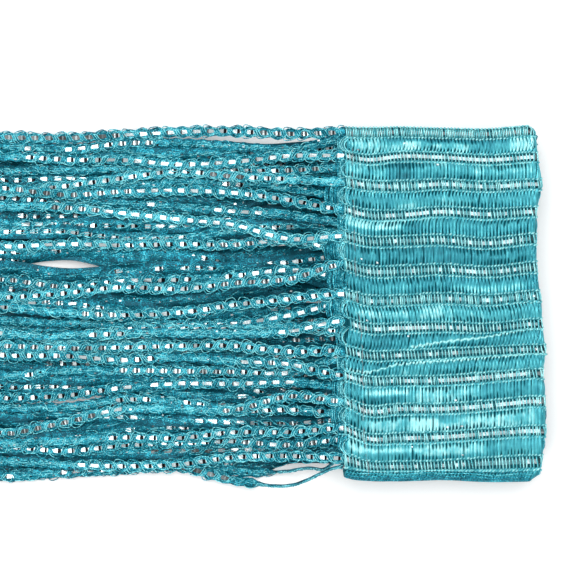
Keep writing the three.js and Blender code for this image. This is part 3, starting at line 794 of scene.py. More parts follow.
def band_stations():
    """The middle of the folded band, rib by rib from the free selvage: each station has its place
    in ribs, its y at the columns, its height, its upper face's direction, its edge and reach."""
    stations = []

    def add(rib, row, z, normal, edge, reach):
        stations.append([rib, *row, z, *normal, edge, reach])

    top = TOP_RIBS[0]
    selvage = SELVAGE / RIB_PITCH
    add(-selvage, table_row(top, SELVAGE), layer_z(0), (0, 1), 0.0, top["reach"] - CORNER_CUT)
    for rib, row in enumerate(TOP_RIBS):
        add(rib, table_row(row), layer_z(0), (0, 1), 0.0, row["reach"])
    rib = len(TOP_RIBS) - 1
    for layer in range(1, len(LAYERS)):
        side = direction(layer - 1)
        above, below = LAYERS[layer - 1], LAYERS[layer]
        is_first = layer == 1
        last = above["first"] + side * RIB_PITCH * (above["ribs"] - 1)
        last = TOP_RIBS[-1]["middle"] if is_first else last
        centre = table_row(FIRST_FOLD) if is_first else [above["turn"]] * len(COLUMNS)
        reach = FIRST_FOLD["reach"] if is_first else above["reach"]
        before, after = abs(above["turn"] - last), abs(below["first"] - above["turn"])
        arc = math.pi * FOLD_RADIUS
        for share in np.linspace(0, 1, FOLD_STEPS):
            out, up = math.sin(math.pi * share), math.cos(math.pi * share)
            add(
                rib + (before + arc * share) / (before + arc + after),
                [y + FOLD_RADIUS * side * out for y in centre],
                layer_z(layer - 1) - FOLD_RADIUS + FOLD_RADIUS * up,
                (-out, -side * up),
                above["edge"] + (below["edge"] - above["edge"]) * share,
                reach + (below["reach"] - reach) * share - FOLD_ROUNDING * out,
            )
        z, flat = layer_z(layer), (0, side)
        for i in range(below["ribs"]):
            rib += 1
            y = below["first"] - side * RIB_PITCH * i
            reach = below["reach"] + wave(REACH_WAVE, y, 2 * layer)
            reach = min(reach, top_reach(y) - LAYER_INSET)
            add(rib, [y] * len(COLUMNS), z, flat, below["edge"], reach)
    y = y - side * SELVAGE
    add(rib + selvage, [y] * len(COLUMNS), z, flat, below["edge"], below["reach"])
    return np.array(stations)


STATIONS = band_stations()


def station_at(rib):
    return [np.interp(rib, STATIONS[:, 0], STATIONS[:, i]) for i in range(1, STATIONS.shape[1])]


def row_y(rows, x):
    """y of a row of the rib table at any x, as a smooth curve through the columns."""
    i = np.clip(np.searchsorted(COLUMN_X, x) - 1, 0, len(COLUMN_X) - 2)
    step = COLUMN_X[i + 1] - COLUMN_X[i]
    t = np.clip((x - COLUMN_X[i]) / step, 0, 1)
    rows = np.broadcast_to(rows, (rows.shape[0], *x.shape))
    slopes = np.gradient(rows, COLUMN_X, axis=0)
    p, q, m, n = (
        np.take_along_axis(values, i[None] + further, 0)[0]
        for values, further in ((rows, 0), (rows, 1), (slopes, 0), (slopes, 1))
    )
    return hermite(p, q, m * step, n * step, t)


def cloth_point(rib, across, lift):
    """A point on the band: rib counts ribs along it, across is the distance from the lower edge
    over the upper wall, round the nose and back, and lift is the height off the outer face."""
    rib, across, lift = (
        np.asarray(value, float) for value in np.broadcast_arrays(rib, across, lift)
    )
    *rows, z, normal_y, normal_z, edge, reach = station_at(rib)
    flat = reach - NOSE_LENGTH - edge
    angle = np.clip((across - flat) / NOSE_ARC, 0, 1) * np.pi
    back = np.maximum(across - flat - NOSE_ARC, 0)
    x = edge + np.minimum(across, flat) - back + NOSE_LENGTH * np.sin(angle)
    pinch = SEAM_PINCH * (1 - smoothstep(x, edge, edge + SEAM_WIDTH))
    offset = (HALF_LAYER - pinch + lift) * np.cos(angle)
    x = x + lift * np.sin(angle)
    y = row_y(np.stack(rows), x) + normal_y * offset
    return np.stack([x, y, z + normal_z * offset], axis=-1)


def is_top(rib):
    """1 on the top layer, falling to 0 at its fold."""
    return smoothstep(rib, *TOP_END)


def crease(rib, across):
    """From 0 to 1 on the small folds that run beside the ninth rib."""
    total = np.zeros(np.broadcast_shapes(np.shape(rib), np.shape(across)))
    for row in CREASES:
        place = row["band"] + np.interp(across, row["x"], row["share"])
        place = place + CREASE_WAVE * np.sin(CREASE_WAVE_RATE * across) / RIB_PITCH
        away = (rib - place) * RIB_PITCH / CREASE_WIDTH
        shown = smoothstep(across, row["x"][0] - CREASE_START, row["x"][0])
        total = total + shown * np.exp(-(away**2))
    return total


def relief(rib, across):
    """How far the top layer's cloth stands up: raised ribs, puffed bands and soft wrinkles."""
    away = np.abs(rib - np.round(rib)) * RIB_PITCH
    raised = RIB_HEIGHT * np.exp(-((away / RIB_SPREAD) ** 2))
    puff = PUFF_HEIGHT * np.sin(np.pi * fraction(rib)) ** 2
    slow, quick = PUFF_RIPPLES
    uneven = 1 + ripple(slow, across, 2.1 * np.floor(rib)) + ripple(quick, across, rib)
    long, short = WRINKLES
    wrinkle = ripple(long, across, 1.7 * rib) * ripple(short, across, -0.9 * rib)
    total = raised + puff * uneven + wrinkle + CREASE_HEIGHT * crease(rib, across)
    return total * is_top(rib)


def on_cloth(rib, across, lift):
    """A point of a thread that lies on the top layer's cloth, at some lift above it."""
    return cloth_point(rib, np.maximum(across, 0), relief(rib, across) + lift)


# Heading: its relief, its cloth and its threads

# How wide its ribs and how high its bands and wrinkles are, and where the top layer ends, counted
# in ribs
RIB_SPREAD = 1.9
PUFF_HEIGHT = 0.42
PUFF_RIPPLES = table("size radius", (0.45, 9.0), (0.25, 4.1))
WRINKLES = table("size radius", (0.16, 13), (1.0, 7.3))
TOP_END = (12.6, 12.2)

# Folds along the band beside the ninth rib: share of the band at some x
CREASES = table(
    "band x share",
    (7, (25, 34, 47, 56, 68), (0.7, 0.57, 0.42, 0.28, 0.16)),
    (8, (2, 7, 18, 29, 47, 56, 67), (0.72, 0.68, 0.36, 0.27, 0.26, 0.24, 0.17)),
)
CREASE_WIDTH = 0.5
CREASE_HEIGHT = 0.4
CREASE_START = 4
CREASE_WAVE = 0.25
CREASE_WAVE_RATE = 2.3

# The sheet: how finely it is drawn, and how far it lies under the threads that cover it
STEPS_PER_RIB = 11
INNER_STEP = 6
WALL_SHARES = np.linspace(0, 1, 14)
NOSE_SHARES = np.linspace(0.12, 0.88, 6)
BACKING_DEPTH = 0.3
COVERED_NOSE = 0.6

# Wefts are flat bundles between the ribs, at these depths from either rib, and the slits between
# them open beside the ribs
FIRST_WEFT = 0.6
WEFT_PITCH = 1.22
WEFT_ENDS = 0.15
WEFT_SPAN = (1 - 2 * WEFT_ENDS) * RIB_PITCH
WEFT_DEPTHS = (0, 0.7, 1.0, 1.7, 2.3, 2.9)
WEFT_SIDES = np.linspace(-1, 1, 5)
WEFT_CREASE = np.array([-0.07, 0, 0.07])
WEFT_STRAY = 0.05
WEFT_LIFTS = (0, 0.08)
WEFT_CROWN = 0.21
WEFT_DIP = {"depth": 0.3, "share": 0.12}
WEFT_TONE = 0.55
WEFT_TONE_DRIFT = {"step": 0.12, "size": 0.09}
WEFT_TONE_SPREAD = 0.08
# Painted shade at the wefts' edges, in the creases where they meet
WEFT_EDGE_SHADE = 0.11
WEFT_GLEAM = {"tone": 0.87, "edge": 0.4}
CREASE_GLEAM = 0.7
SLIT_START = (0.6, 1.0)
SLIT_END = 0.6
SLIT_LENGTH = {"middle": 2.7, "spread": (0.7, 1.35)}
SLIT_WIDTH = {"middle": 0.62, "spread": (0.75, 1.2)}
SLIT_STRENGTH = 0.64
SLIT_RIPPLE = {"size": 0.38, "radius": 6.5}
LONG_SLITS = {"odds": 0.04, "length": 2, "width": 0.6}
SMOOTH_X = (62, 70)
WEFT_COUNT = int((max(row["reach"] for row in TOP_RIBS) + NOSE_ARC) / WEFT_PITCH)

# How far the wefts have shifted along each rib of the top layer, and how they bow in the band
# below it
WEFT_SHIFT = [0.0, -0.2, 0.0, -0.9, -1.5, -1.3, -0.2, 1.4, 0.0, -1.5, -1.4, -1.5, -1.4, -6.0]
WEFT_BOW = [0.7, 0.2, -0.3, -0.4, 0.2, 0.2, 0.3, 0.2, -0.2, 0.0, 0.1, 0.1, 0.0]

# Places where the wefts gleam or lie in shade: the band, the x and the share of the band that they
# fill, and what they add to the tone
GLEAMS = table(
    "band x share tone",
    (0, (2, 14), (0.2, 0.75), 0.35), (0, (14, 22), (0.5, 0.8), 0.3),
    (0, (21, 27), (0.35, 0.75), 0.6), (0, (28, 36), (0.45, 0.85), 0.35),
    (0, (37, 45), (0.4, 0.75), 0.35), (0, (59, 68), (0.2, 0.75), 0.55),
    (0, (15, 60), (0.1, 0.35), -0.2), (1, (0, 5), (0.1, 0.9), 0.3),
    (1, (5, 15), (0.2, 0.8), 0.12), (1, (16, 24), (0.1, 0.8), -0.2),
    (1, (31, 36), (0.15, 0.4), 0.4), (1, (46, 50), (0.2, 0.8), 0.2),
    (1, (14, 52), (0.5, 0.95), -0.12), (1, (54, 68), (0.05, 0.6), 0.14),
    (2, (18, 26), (0.6, 0.85), 0.3), (2, (32, 45), (0.5, 0.8), 0.2),
    (3, (0, 20), (0.22, 0.55), 0.5), (3, (20, 34), (0.15, 0.35), 0.3),
    (3, (22, 70), (0.1, 1.0), -0.14), (4, (-2, 75), (0.0, 1.0), -0.17),
    (5, (-2, 75), (0.0, 1.0), -0.17), (5, (9, 24), (0.45, 0.65), 0.2),
    (5, (38, 64), (0.5, 0.75), 0.4), (6, (4, 24), (0.35, 0.65), 0.3),
    (6, (27, 35), (0.25, 0.7), 0.4), (6, (36, 58), (0.3, 0.75), 0.12),
    (7, (36, 52), (0.1, 0.3), -0.25), (7, (2, 24), (0.25, 0.7), -0.1),
    (7, (22, 70), (0.2, 1.0), -0.08), (8, (2, 18), (0.3, 0.55), -0.2),
    (8, (10, 70), (0.0, 0.5), -0.12), (9, (7, 23), (0.3, 0.5), 0.55),
    (9, (8, 17), (0.5, 0.9), -0.15), (9, (24, 48), (0.2, 0.8), 0.35),
    (10, (8, 24), (0.3, 0.75), 0.4), (10, (24, 32), (0.3, 0.8), 0.7),
    (10, (32, 58), (0.3, 0.8), 0.5), (10, (34, 41), (0.3, 0.5), -0.6),
    (10, (58, 69), (0.2, 0.8), 0.35), (11, (1, 7), (0.1, 0.6), 0.45),
    (11, (7, 27), (0.33, 0.5), 0.45), (11, (28, 50), (0.25, 0.65), 0.4),
    (12, (-3, 75), (0.45, 1.2), -0.32),
)
GLEAM_EDGE_X = 2.0
GLEAM_EDGE_SHARE = 0.08

# A rib's two chains of slanting stitches, and its wefts, which are thick beside the foil and thin
# over it
RIB_LIFT = 0.16
CHAIN_PLACE = 2.0
CHAIN_LEAN = 0.3
CHAIN_RADIUS = 0.38
CHAIN_TONES = (0.76, 1.0)
STITCH_STRAY = {"x": 0.06, "rib": 0.008}
STITCH_LIFTS = (-0.08, 0.05)
STITCH_X = np.array([-0.48, -0.18, 0.18, 0.48])
STITCH_Y = np.array([0.34, 0.12, -0.12, -0.34])
STITCH_Z = np.array([0.0, 0.2, 0.2, 0.0])
CROSSING_Y = np.array([-1.75, -1.3, -0.85, -0.58, 0.58, 0.85, 1.3, 1.75])
BESIDE_FOIL = np.clip((np.abs(CROSSING_Y) - 0.45) / 0.3, 0, 1)
STUB_RADIUS = 0.4
STUB_SPREAD = (0.85, 1.15)
STUB_SWELL = {"radius": 0.1, "x": (58, 70)}
STUB_DROP = 0.1
THREAD_RADIUS = 0.35
DULL_THREAD_RADIUS = 0.36
DOUBLED_RADIUS = 0.3
CLOSED_ODDS = 0.85
CROSSING_TONES = (0.72, 1.0)
DOUBLED_TONES = (0.6, 1.0)
SLANT = 0.13
SLANT_STRAY = 0.05
RIB_FOIL_WIDTH = 1.25
RIB_FOIL_CRINKLE = 0.05

# Share of the windows on each rib whose foil shines white, at the left, in the middle and at the
# right, which windows a thread closes (all, every second or third, or none), a factor for the tone
# of its dull foil, and between which x every second window is a dark bar. The white shine, the dull
# foil and the dark bars are painted reflections on the silver.
SHINE_COLUMNS = (11, 34, 56)
RIB_LOOKS = table(
    "shine closed fade bars",
    ((0.0, 0.0, 0.0), 1, 0.8, ()),
    ((0.9, 0.9, 0.95), 0, 1.0, ()),
    ((0.3, 0.35, 0.85), 2, 1.0, ()),
    ((0.4, 0.95, 0.2), 0, 1.0, ()),
    ((0.05, 0.12, 0.35), 0, 1.0, ()),
    ((0.1, 0.2, 0.35), 0, 1.0, ()),
    ((0.12, 0.15, 0.35), 2, 1.0, ()),
    ((0.65, 0.6, 0.1), 0, 1.0, (38, 60)),
    ((0.15, 0.1, 0.12), 0, 0.92, ()),
    ((0.5, 0.75, 0.7), 3, 1.0, ()),
    ((0.6, 0.95, 0.8), 3, 1.0, ()),
    ((0.55, 0.95, 0.8), 3, 1.0, ()),
    ((0.45, 0.25, 0.2), 0, 1.0, (22, 46)),
)
BRIGHT_FOIL_REFLECTIONS = (0.74, 0.64)
DIM_FOIL_REFLECTIONS = (0.5, 0.46, 0.43, 0.39)
DIM_REFLECTION_ODDS = (0.35, 0.35, 0.2, 0.1)
BAR_TONE = 0.39

# The thread that closes the pocket: x at some ribs, and how it dives into the cloth between them,
# less so beyond the seventh
SEAM_RIBS = (-0.1, 2, 3, 4, 5, 6, 7, 8, 10, 11, 12, 12.4)
SEAM_X = (2.5, 2.7, 3.2, 3.3, 3.6, 4.3, 5.6, 6.2, 6.5, 6.7, 8.2, 8.6)
SEAM_THREAD = {"steps": 160, "radius": 0.17, "lift": 0.5, "tone": 0.8}
SEAM_WAVE = {"size": 0.1, "rate": 9}
SEAM_STITCH = {"size": 0.1, "rate": 2 * math.pi * 3.3}
SEAM_DIVES = (0.85, 0.5)
SEAM_CHANGE = 6.5

# Yarns along the first fold: the share of the way from the last rib to the next one
FOLD_YARNS = table(
    "share radius tone",
    (0.25, 0.2, 0.1), (0.3, 0.22, 0.65), (0.36, 0.36, 0.32), (0.42, 0.3, 0.22),
    (0.48, 0.36, 0.4), (0.55, 0.36, 0.25), (0.63, 0.36, 0.22),
)
FOLD_YARN_LIFT = 0.15
FOLD_YARN_END = 3
FOLD_YARN_STEPS = 90
FOLD_YARN_RIPPLE = {"size": 0.012, "radius": 2.7}

# Bits of foil that stick out of the cloth: the place in ribs, and x
SPARKLES = table(
    "rib x",
    (4.63, 5.8), (4.69, 11.5), (6.71, 7.9), (7.3, 22.7), (11.31, 24.0), (10.66, 36.7),
    (10.66, 41.8), (11.67, 42.0), (9.72, 39.6), (0.66, 4.7), (1.28, 33.1), (0.59, 24.5),
    (0.46, 21.2), (10.05, 69.8), (11.05, 70.4), (7.0, 68.4), (6.0, 67.7), (8.0, 68.6),
)
SPARKLE_RIBS = np.array([-0.035, -0.02, 0.03, 0.025])
SPARKLE_X = np.array([-0.32, 0.4, 0.28, -0.36])
SPARKLE_LIFT = 0.5
SPARKLE_SPREAD = {"x": 0.1, "z": 0.06}
SPARKLE_TONE = 0.84

# Loose wefts along the pocket's top fold, in each band, and along its lower edge, between two ribs
# of the top layer and of the others. Their sizes are the least and the most of each.
BOW = np.linspace(0, 1, 9)
NOSE_LOOPS = {
    "count": 5, "from": (0.15, 0.55), "droop": 0.6, "start": (0.05, 0.4), "width": (0.3, 0.55),
    "base": 0.1, "lift": (0.15, 0.9), "radius": 0.17, "tone": (0.3, 0.85),
}
EDGE_LOOPS = {
    "counts": (11, 4), "from": (0.2, 3.6), "bow": (0.8, 3.6), "start": 0.12, "width": 0.76,
    "lift": (-0.7, 0.45), "rise": 0.2, "radius": 0.2, "tone": (0.35, 1.15),
}

# How far the wefts of a lower layer reach past the lower edge between the roots, band by band
EDGE_COMBS = [2.4, 2.4, 6.6, 2.4, 6.6, 5.8, 6.0, 2.8, 2.4, 4.2, 4.6, 2.4]
COMB = {"inset": 0.8, "first": 0.1, "pitch": 0.42, "steps": 7, "radius": 0.3, "lift": 0.3}
COMB_BOW = {"x": 0.3, "more": 0.1, "z": 0.25}
COMB_FALL = 0.12
COMB_STRAY = {"y": 0.1, "x": 0.06}
COMB_TONE = {"first": 0.66, "fall": 0.05, "spread": 0.25}


def sheet_side(rib, margin):
    """Places on one side of the sheet's pocket, over the upper wall, round the nose and back, with
    a margin left out at the lower edge: the walls' length, the places across and their (u, v)."""
    *_, edge, reach = station_at(rib)
    flat = (reach - NOSE_LENGTH - edge)[:, None]
    wall = flat - margin
    there = margin + WALL_SHARES * wall
    back = flat + NOSE_ARC + WALL_SHARES * wall
    across = np.concatenate([there, flat + NOSE_SHARES * NOSE_ARC, back], axis=1)
    place = np.stack([across / WEFT_PITCH, np.broadcast_to(rib[:, None], across.shape)], axis=-1)
    return flat, across, place


def make_sheet(material):
    """The cloth of the pocket, both faces: painted dark, as shade, where real threads lie on it."""
    first, last = STATIONS[[0, -1], 0]
    rib = np.linspace(first, last, int((last - first) * STEPS_PER_RIB))
    flat, across, place = sheet_side(rib, 0.0)
    rib = rib[:, None]
    covered = is_top(rib) * (across < flat + COVERED_NOSE * NOSE_ARC)
    lift = relief(rib, across) * (across < flat) - BACKING_DEPTH * covered
    outer = cloth_point(rib, across, lift)
    rib = np.append(rib[:-1:INNER_STEP], last)
    _, inner_across, inner_place = sheet_side(rib, SEAM_WIDTH)
    inner = cloth_point(rib[:, None], inner_across, -POCKET_WALL)
    numbers = np.arange((len(outer) + len(inner)) * across.shape[1]).reshape(-1, across.shape[1])
    rings = np.concatenate([numbers[: len(outer)], numbers[len(outer) :][::-1], numbers[:1]])
    points = np.concatenate([outer, inner])
    tones = np.concatenate([covered, np.zeros(inner_across.shape)])
    parts = Parts()
    parts.add(points, ring_faces(rings), tones, place=np.concatenate([place, inner_place]))
    return parts.build("heading_cloth", [material])


def weft_across(k, band, u):
    """Where weft number k lies across the band, at the share u of the way to the next rib."""
    shift = WEFT_SHIFT[band] + (WEFT_SHIFT[band + 1] - WEFT_SHIFT[band]) * u
    return FIRST_WEFT + WEFT_PITCH * k + shift + WEFT_BOW[band] * np.sin(np.pi * u)


def gleam(band, u, across):
    total = np.zeros(np.broadcast_shapes(np.shape(u), np.shape(across)))
    for row in GLEAMS:
        if row["band"] == band:
            inside = between(u, row["share"], GLEAM_EDGE_SHARE)
            total = total + row["tone"] * inside * between(across, row["x"], GLEAM_EDGE_X)
    return total


def weft_steps(k, band):
    """Where each weft of a band has its points: at set depths, in its middle and on creases."""
    ends = np.array(WEFT_DEPTHS) / WEFT_SPAN
    base = np.concatenate([ends, [0.5], 1 - ends[::-1]])
    steps = np.broadcast_to(base, (len(k), len(base)))
    for row in CREASES:
        if row["band"] == band:
            share = np.interp(WEFT_PITCH * k + FIRST_WEFT, row["x"], row["share"])
            place = (share - WEFT_ENDS) / (1 - 2 * WEFT_ENDS) + WEFT_CREASE
            steps = np.concatenate([steps, np.clip(place, 0.001, 0.999)], axis=1)
    return np.sort(steps, axis=1)


def draw_slits(rng):
    """Length and half width of the slits on either side of the wefts, beside one rib."""
    size = (WEFT_COUNT + 1, 1)
    length = SLIT_LENGTH["middle"] * rng.uniform(*SLIT_LENGTH["spread"], size)
    is_long = rng.random(size) < LONG_SLITS["odds"]
    along = np.arange(WEFT_COUNT + 1)[:, None] * WEFT_PITCH
    strength = SLIT_STRENGTH + ripple(SLIT_RIPPLE, along, rng.uniform(0, 6.3))
    width = SLIT_WIDTH["middle"] / 2 * rng.uniform(*SLIT_WIDTH["spread"], size) * strength
    length = np.where(is_long, LONG_SLITS["length"] * length, length)
    return np.stack([length, np.where(is_long, LONG_SLITS["width"] * width, width)])


def slit_at(depth, sizes):
    """How far a slit has opened at some depth from its rib."""
    length, width = sizes
    opening = smoothstep(depth, *SLIT_START)
    return width * opening * (1 - smoothstep(depth, SLIT_END * length, length))


def make_wefts(material):
    """The satin threads of the top layer: a flat bundle for each pitch of each band, parted from
    the next one by a slit beside either rib."""
    rng = np.random.default_rng(23)
    parts = Parts()
    count = WEFT_COUNT
    side = WEFT_SIDES
    k = np.arange(count)[:, None]
    for band in range(len(TOP_RIBS)):
        drift = np.cumsum(rng.normal(0, WEFT_TONE_DRIFT["step"], count))
        tone = WEFT_TONE + WEFT_TONE_DRIFT["size"] * np.sin(drift)
        tone = tone + rng.uniform(-WEFT_TONE_SPREAD, WEFT_TONE_SPREAD, count)
        steps = weft_steps(k, band)
        jitter = rng.normal(0, WEFT_STRAY, (2, count, 1))
        middle = weft_across(k, band, steps) + jitter[0] + jitter[1] * steps
        slits = [(share * WEFT_SPAN, draw_slits(rng)) for share in (steps, 1 - steps)]
        rough = 1 - smoothstep(middle, *SMOOTH_X)
        before, after = (
            np.maximum(*(slit_at(depth, sizes[:, rows]) for depth, sizes in slits))
            for rows in (slice(None, -1), slice(1, None))
        )
        gap = np.where(side < 0, (before * rough)[..., None], (after * rough)[..., None])
        across = middle[..., None] + side * (WEFT_PITCH / 2 - gap)
        rib = band + WEFT_ENDS + (1 - 2 * WEFT_ENDS) * steps
        rib = np.broadcast_to(rib[..., None], across.shape)
        nearness = np.minimum(steps, 1 - steps)[..., None]
        dip = WEFT_DIP["depth"] * (1 - smoothstep(nearness, 0, WEFT_DIP["share"]))
        lift = WEFT_CROWN * (1 - side**2) - dip + rng.uniform(*WEFT_LIFTS, (count, 1, 1))
        points = on_cloth(rib, across, lift)
        shade = WEFT_GLEAM["tone"] * gleam(band, rib - band, across)
        shade = shade * (1 - WEFT_GLEAM["edge"] * side**2) + CREASE_GLEAM * crease(rib, across)
        # Painted shade darkens each weft towards its edges
        shade = shade + tone[:, None, None] - WEFT_EDGE_SHADE * side**2
        place = np.stack([across / WEFT_PITCH, rib], axis=-1)
        faces = grid_faces(steps.shape[1], len(side))[..., ::-1].reshape(1, -1, 4)
        faces = faces + (k * steps.shape[1] * len(side))[..., None]
        parts.add(points, faces, shade, place=place)
    return parts.build("heading_wefts", [material])


def make_ribs(materials):
    """Chain stitches, foil and the threads that cross it, on the ribs of the top layer."""
    rng = np.random.default_rng(31)
    parts = Parts()
    for rib in range(len(TOP_RIBS)):
        middle = FIRST_WEFT + WEFT_PITCH * np.arange(WEFT_COUNT) + WEFT_SHIFT[rib]
        middle = (middle + rng.normal(0, WEFT_STRAY, WEFT_COUNT))[:, None]
        add_chains(parts, rib, middle, rng)
        add_crossings(parts, rib, middle, rng)
        add_rib_foil(parts, rib, middle[:, 0], rng)
    return parts.build("heading_ribs", materials, (1,))


def add_chains(parts, rib, middle, rng):
    """A row of short slanting stitches on either side of a rib."""
    size = (len(middle), 1)
    for side in (1, -1):
        across = middle - side * CHAIN_LEAN + STITCH_X + rng.normal(0, STITCH_STRAY["x"], size)
        place = rib - side * CHAIN_PLACE / RIB_PITCH + STITCH_Y / RIB_PITCH
        place = place + rng.normal(0, STITCH_STRAY["rib"], size)
        paths = on_cloth(place, across, RIB_LIFT + STITCH_Z + rng.uniform(*STITCH_LIFTS, size))
        parts.add_tubes(paths, CHAIN_RADIUS, rng.uniform(*CHAIN_TONES, size), sides=4, kind=2)


def add_crossings(parts, rib, middle, rng):
    """The weft of each pitch on its way across a rib, and a second one where it closes a window."""

    def cross(across, radius, tones):
        place = rib + CROSSING_Y / RIB_PITCH
        paths = on_cloth(place, across, RIB_LIFT - STUB_DROP * BESIDE_FOIL)
        parts.add_tubes(paths, radius, rng.uniform(*tones, (len(across), 1)), kind=2)

    size = (len(middle), 1)
    looks = RIB_LOOKS[rib]
    closed = np.zeros(size, bool)
    if looks["closed"]:
        closed[:: looks["closed"]] = True
        closed &= rng.random(size) < CLOSED_ODDS
    swell = STUB_SWELL["radius"] * smoothstep(middle, *STUB_SWELL["x"])
    stub = STUB_RADIUS * rng.uniform(*STUB_SPREAD, size) + swell
    shine = np.interp(middle, SHINE_COLUMNS, looks["shine"])
    thin = DULL_THREAD_RADIUS + (THREAD_RADIUS - DULL_THREAD_RADIUS) * np.where(closed, 0, shine)
    across = middle + (SLANT + rng.normal(0, SLANT_STRAY, size)) * CROSSING_Y
    cross(across, thin + (stub - thin) * BESIDE_FOIL, CROSSING_TONES)
    across = middle[closed][:, None] + WEFT_PITCH / 2 + SLANT * CROSSING_Y
    cross(across, DOUBLED_RADIUS, DOUBLED_TONES)


def add_rib_foil(parts, rib, middle, rng):
    """The strip of foil on a rib: a facet of its own tone, a painted reflection, in each window
    between two wefts.
    """
    across = np.maximum(middle, 0)
    crinkle = rng.uniform(-RIB_FOIL_CRINKLE, RIB_FOIL_CRINKLE, (len(across), 2))
    low, high = (
        on_cloth(rib + aside / RIB_PITCH, np.maximum(across + SLANT * aside, 0), RIB_LIFT + lift)
        for aside, lift in zip((-RIB_FOIL_WIDTH / 2, RIB_FOIL_WIDTH / 2), crinkle.T)
    )
    looks = RIB_LOOKS[rib]
    x = across[:-1]
    shine = np.interp(x, SHINE_COLUMNS, looks["shine"])
    dim_reflection = looks["fade"] * rng.choice(DIM_FOIL_REFLECTIONS, len(x), p=DIM_REFLECTION_ODDS)
    tone = np.where(rng.random(len(x)) < shine, rng.choice(BRIGHT_FOIL_REFLECTIONS, len(x)), dim_reflection)
    if looks["bars"]:
        start, end = looks["bars"]
        tone[(x > start) & (x < end) & (np.arange(len(x)) % 2 == 0)] = BAR_TONE
    parts.add_facets([low[:-1], high[:-1], high[1:], low[1:]], tone)


def make_trim(materials):
    """The pocket's seam thread, yarns along the first fold, and foil that sticks out."""
    rng = np.random.default_rng(37)
    parts = Parts()
    rib = np.linspace(SEAM_RIBS[0], SEAM_RIBS[-1], SEAM_THREAD["steps"])
    across = np.interp(rib, SEAM_RIBS, SEAM_X)
    across = across + SEAM_WAVE["size"] * np.sin(SEAM_WAVE["rate"] * rib)
    dive = np.where(rib < SEAM_CHANGE, *SEAM_DIVES) * np.sin(np.pi * rib) ** 2
    stitch = SEAM_STITCH["size"] * np.sin(SEAM_STITCH["rate"] * rib)
    path = on_cloth(rib, across, SEAM_THREAD["lift"] + stitch - dive)[None]
    parts.add_tubes(path, SEAM_THREAD["radius"], SEAM_THREAD["tone"], sides=4, kind=1)
    across = np.linspace(0, TOP_RIBS[-1]["reach"] - FOLD_YARN_END, FOLD_YARN_STEPS)
    for row in FOLD_YARNS:
        rib = len(TOP_RIBS) - 1 + row["share"] + ripple(FOLD_YARN_RIPPLE, across, row["tone"])
        path = on_cloth(rib, across, FOLD_YARN_LIFT)[None]
        parts.add_tubes(path, row["radius"], row["tone"], sides=4)
    for row in SPARKLES:
        stray_x, stray_z = (rng.uniform(-far, far, 4) for far in SPARKLE_SPREAD.values())
        across = row["x"] + SPARKLE_X + stray_x
        corners = on_cloth(row["rib"] + SPARKLE_RIBS, across, SPARKLE_LIFT + stray_z)
        parts.add_facets(corners[:, None], SPARKLE_TONE)
    return parts.build("heading_trim", materials, (1,))


def make_nose_loops(material):
    """Loose wefts of the top layer that stand off the pocket's top fold."""
    rng = np.random.default_rng(53)
    parts = Parts()
    size = (NOSE_LOOPS["count"], 1)

    def draw(name):
        return rng.uniform(*NOSE_LOOPS[name], size)

    bow = np.sin(np.pi * BOW)
    for band, row in enumerate(TOP_RIBS):
        across = row["reach"] - NOSE_LENGTH + NOSE_ARC * draw("from") - NOSE_LOOPS["droop"] * bow
        place = band + draw("start") + draw("width") * BOW
        lift = NOSE_LOOPS["base"] + draw("lift") * bow
        parts.add_tubes(cloth_point(place, across, lift), NOSE_LOOPS["radius"], draw("tone"))
    return parts.build("heading_nose_loops", [material])


def add_comb(parts, band, reach, rng):
    """Wefts of a layer below that droop past the lower edge between two roots."""
    low = TOP_RIBS[band + 1]["edge"] + COMB["inset"]
    high = TOP_RIBS[band]["edge"] - COMB["inset"]
    place = np.arange(COMB["first"], reach, COMB["pitch"])[:, None]
    size = place.shape
    u = np.linspace(0, 1, COMB["steps"])
    bow = np.sin(np.pi * u)
    y = low + (high - low) * u + rng.normal(0, COMB_STRAY["y"], size)
    x = -place - (COMB_BOW["x"] + COMB_BOW["more"] * place) * bow
    x = x + rng.normal(0, COMB_STRAY["x"], size)
    z = layer_z(0) - HALF_LAYER + COMB["lift"] - COMB_FALL * place + COMB_BOW["z"] * bow
    spread = rng.uniform(-COMB_TONE["spread"], COMB_TONE["spread"], size)
    tone = COMB_TONE["first"] - COMB_TONE["fall"] * place + spread
    parts.add_tubes(np.stack(np.broadcast_arrays(x, y, z), axis=-1), COMB["radius"], tone)


def make_edge_loops(material):
    """Loose wefts along the lower edge, bowed out between the roots of the strings."""
    rng = np.random.default_rng(47)
    parts = Parts()
    bow = np.sin(np.pi * BOW)
    rib = 0
    for layer, row in enumerate(LAYERS):
        size = (EDGE_LOOPS["counts"][min(layer, 1)], 1)
        for i in range(row["ribs"] - 1):
            start = rng.uniform(*EDGE_LOOPS["from"], size)
            out = rng.uniform(*EDGE_LOOPS["bow"], size) * bow**0.8
            place = rib + i + EDGE_LOOPS["start"] + EDGE_LOOPS["width"] * BOW
            lift = rng.uniform(*EDGE_LOOPS["lift"], size) + EDGE_LOOPS["rise"] * bow
            paths = cloth_point(place, start, lift)
            paths[..., 0] -= out
            parts.add_tubes(paths, EDGE_LOOPS["radius"], rng.uniform(*EDGE_LOOPS["tone"], size))
        rib += row["ribs"]
    for band, reach in enumerate(EDGE_COMBS):
        add_comb(parts, band, reach, rng)
    return parts.build("heading_edge_loops", [material])


# Materials

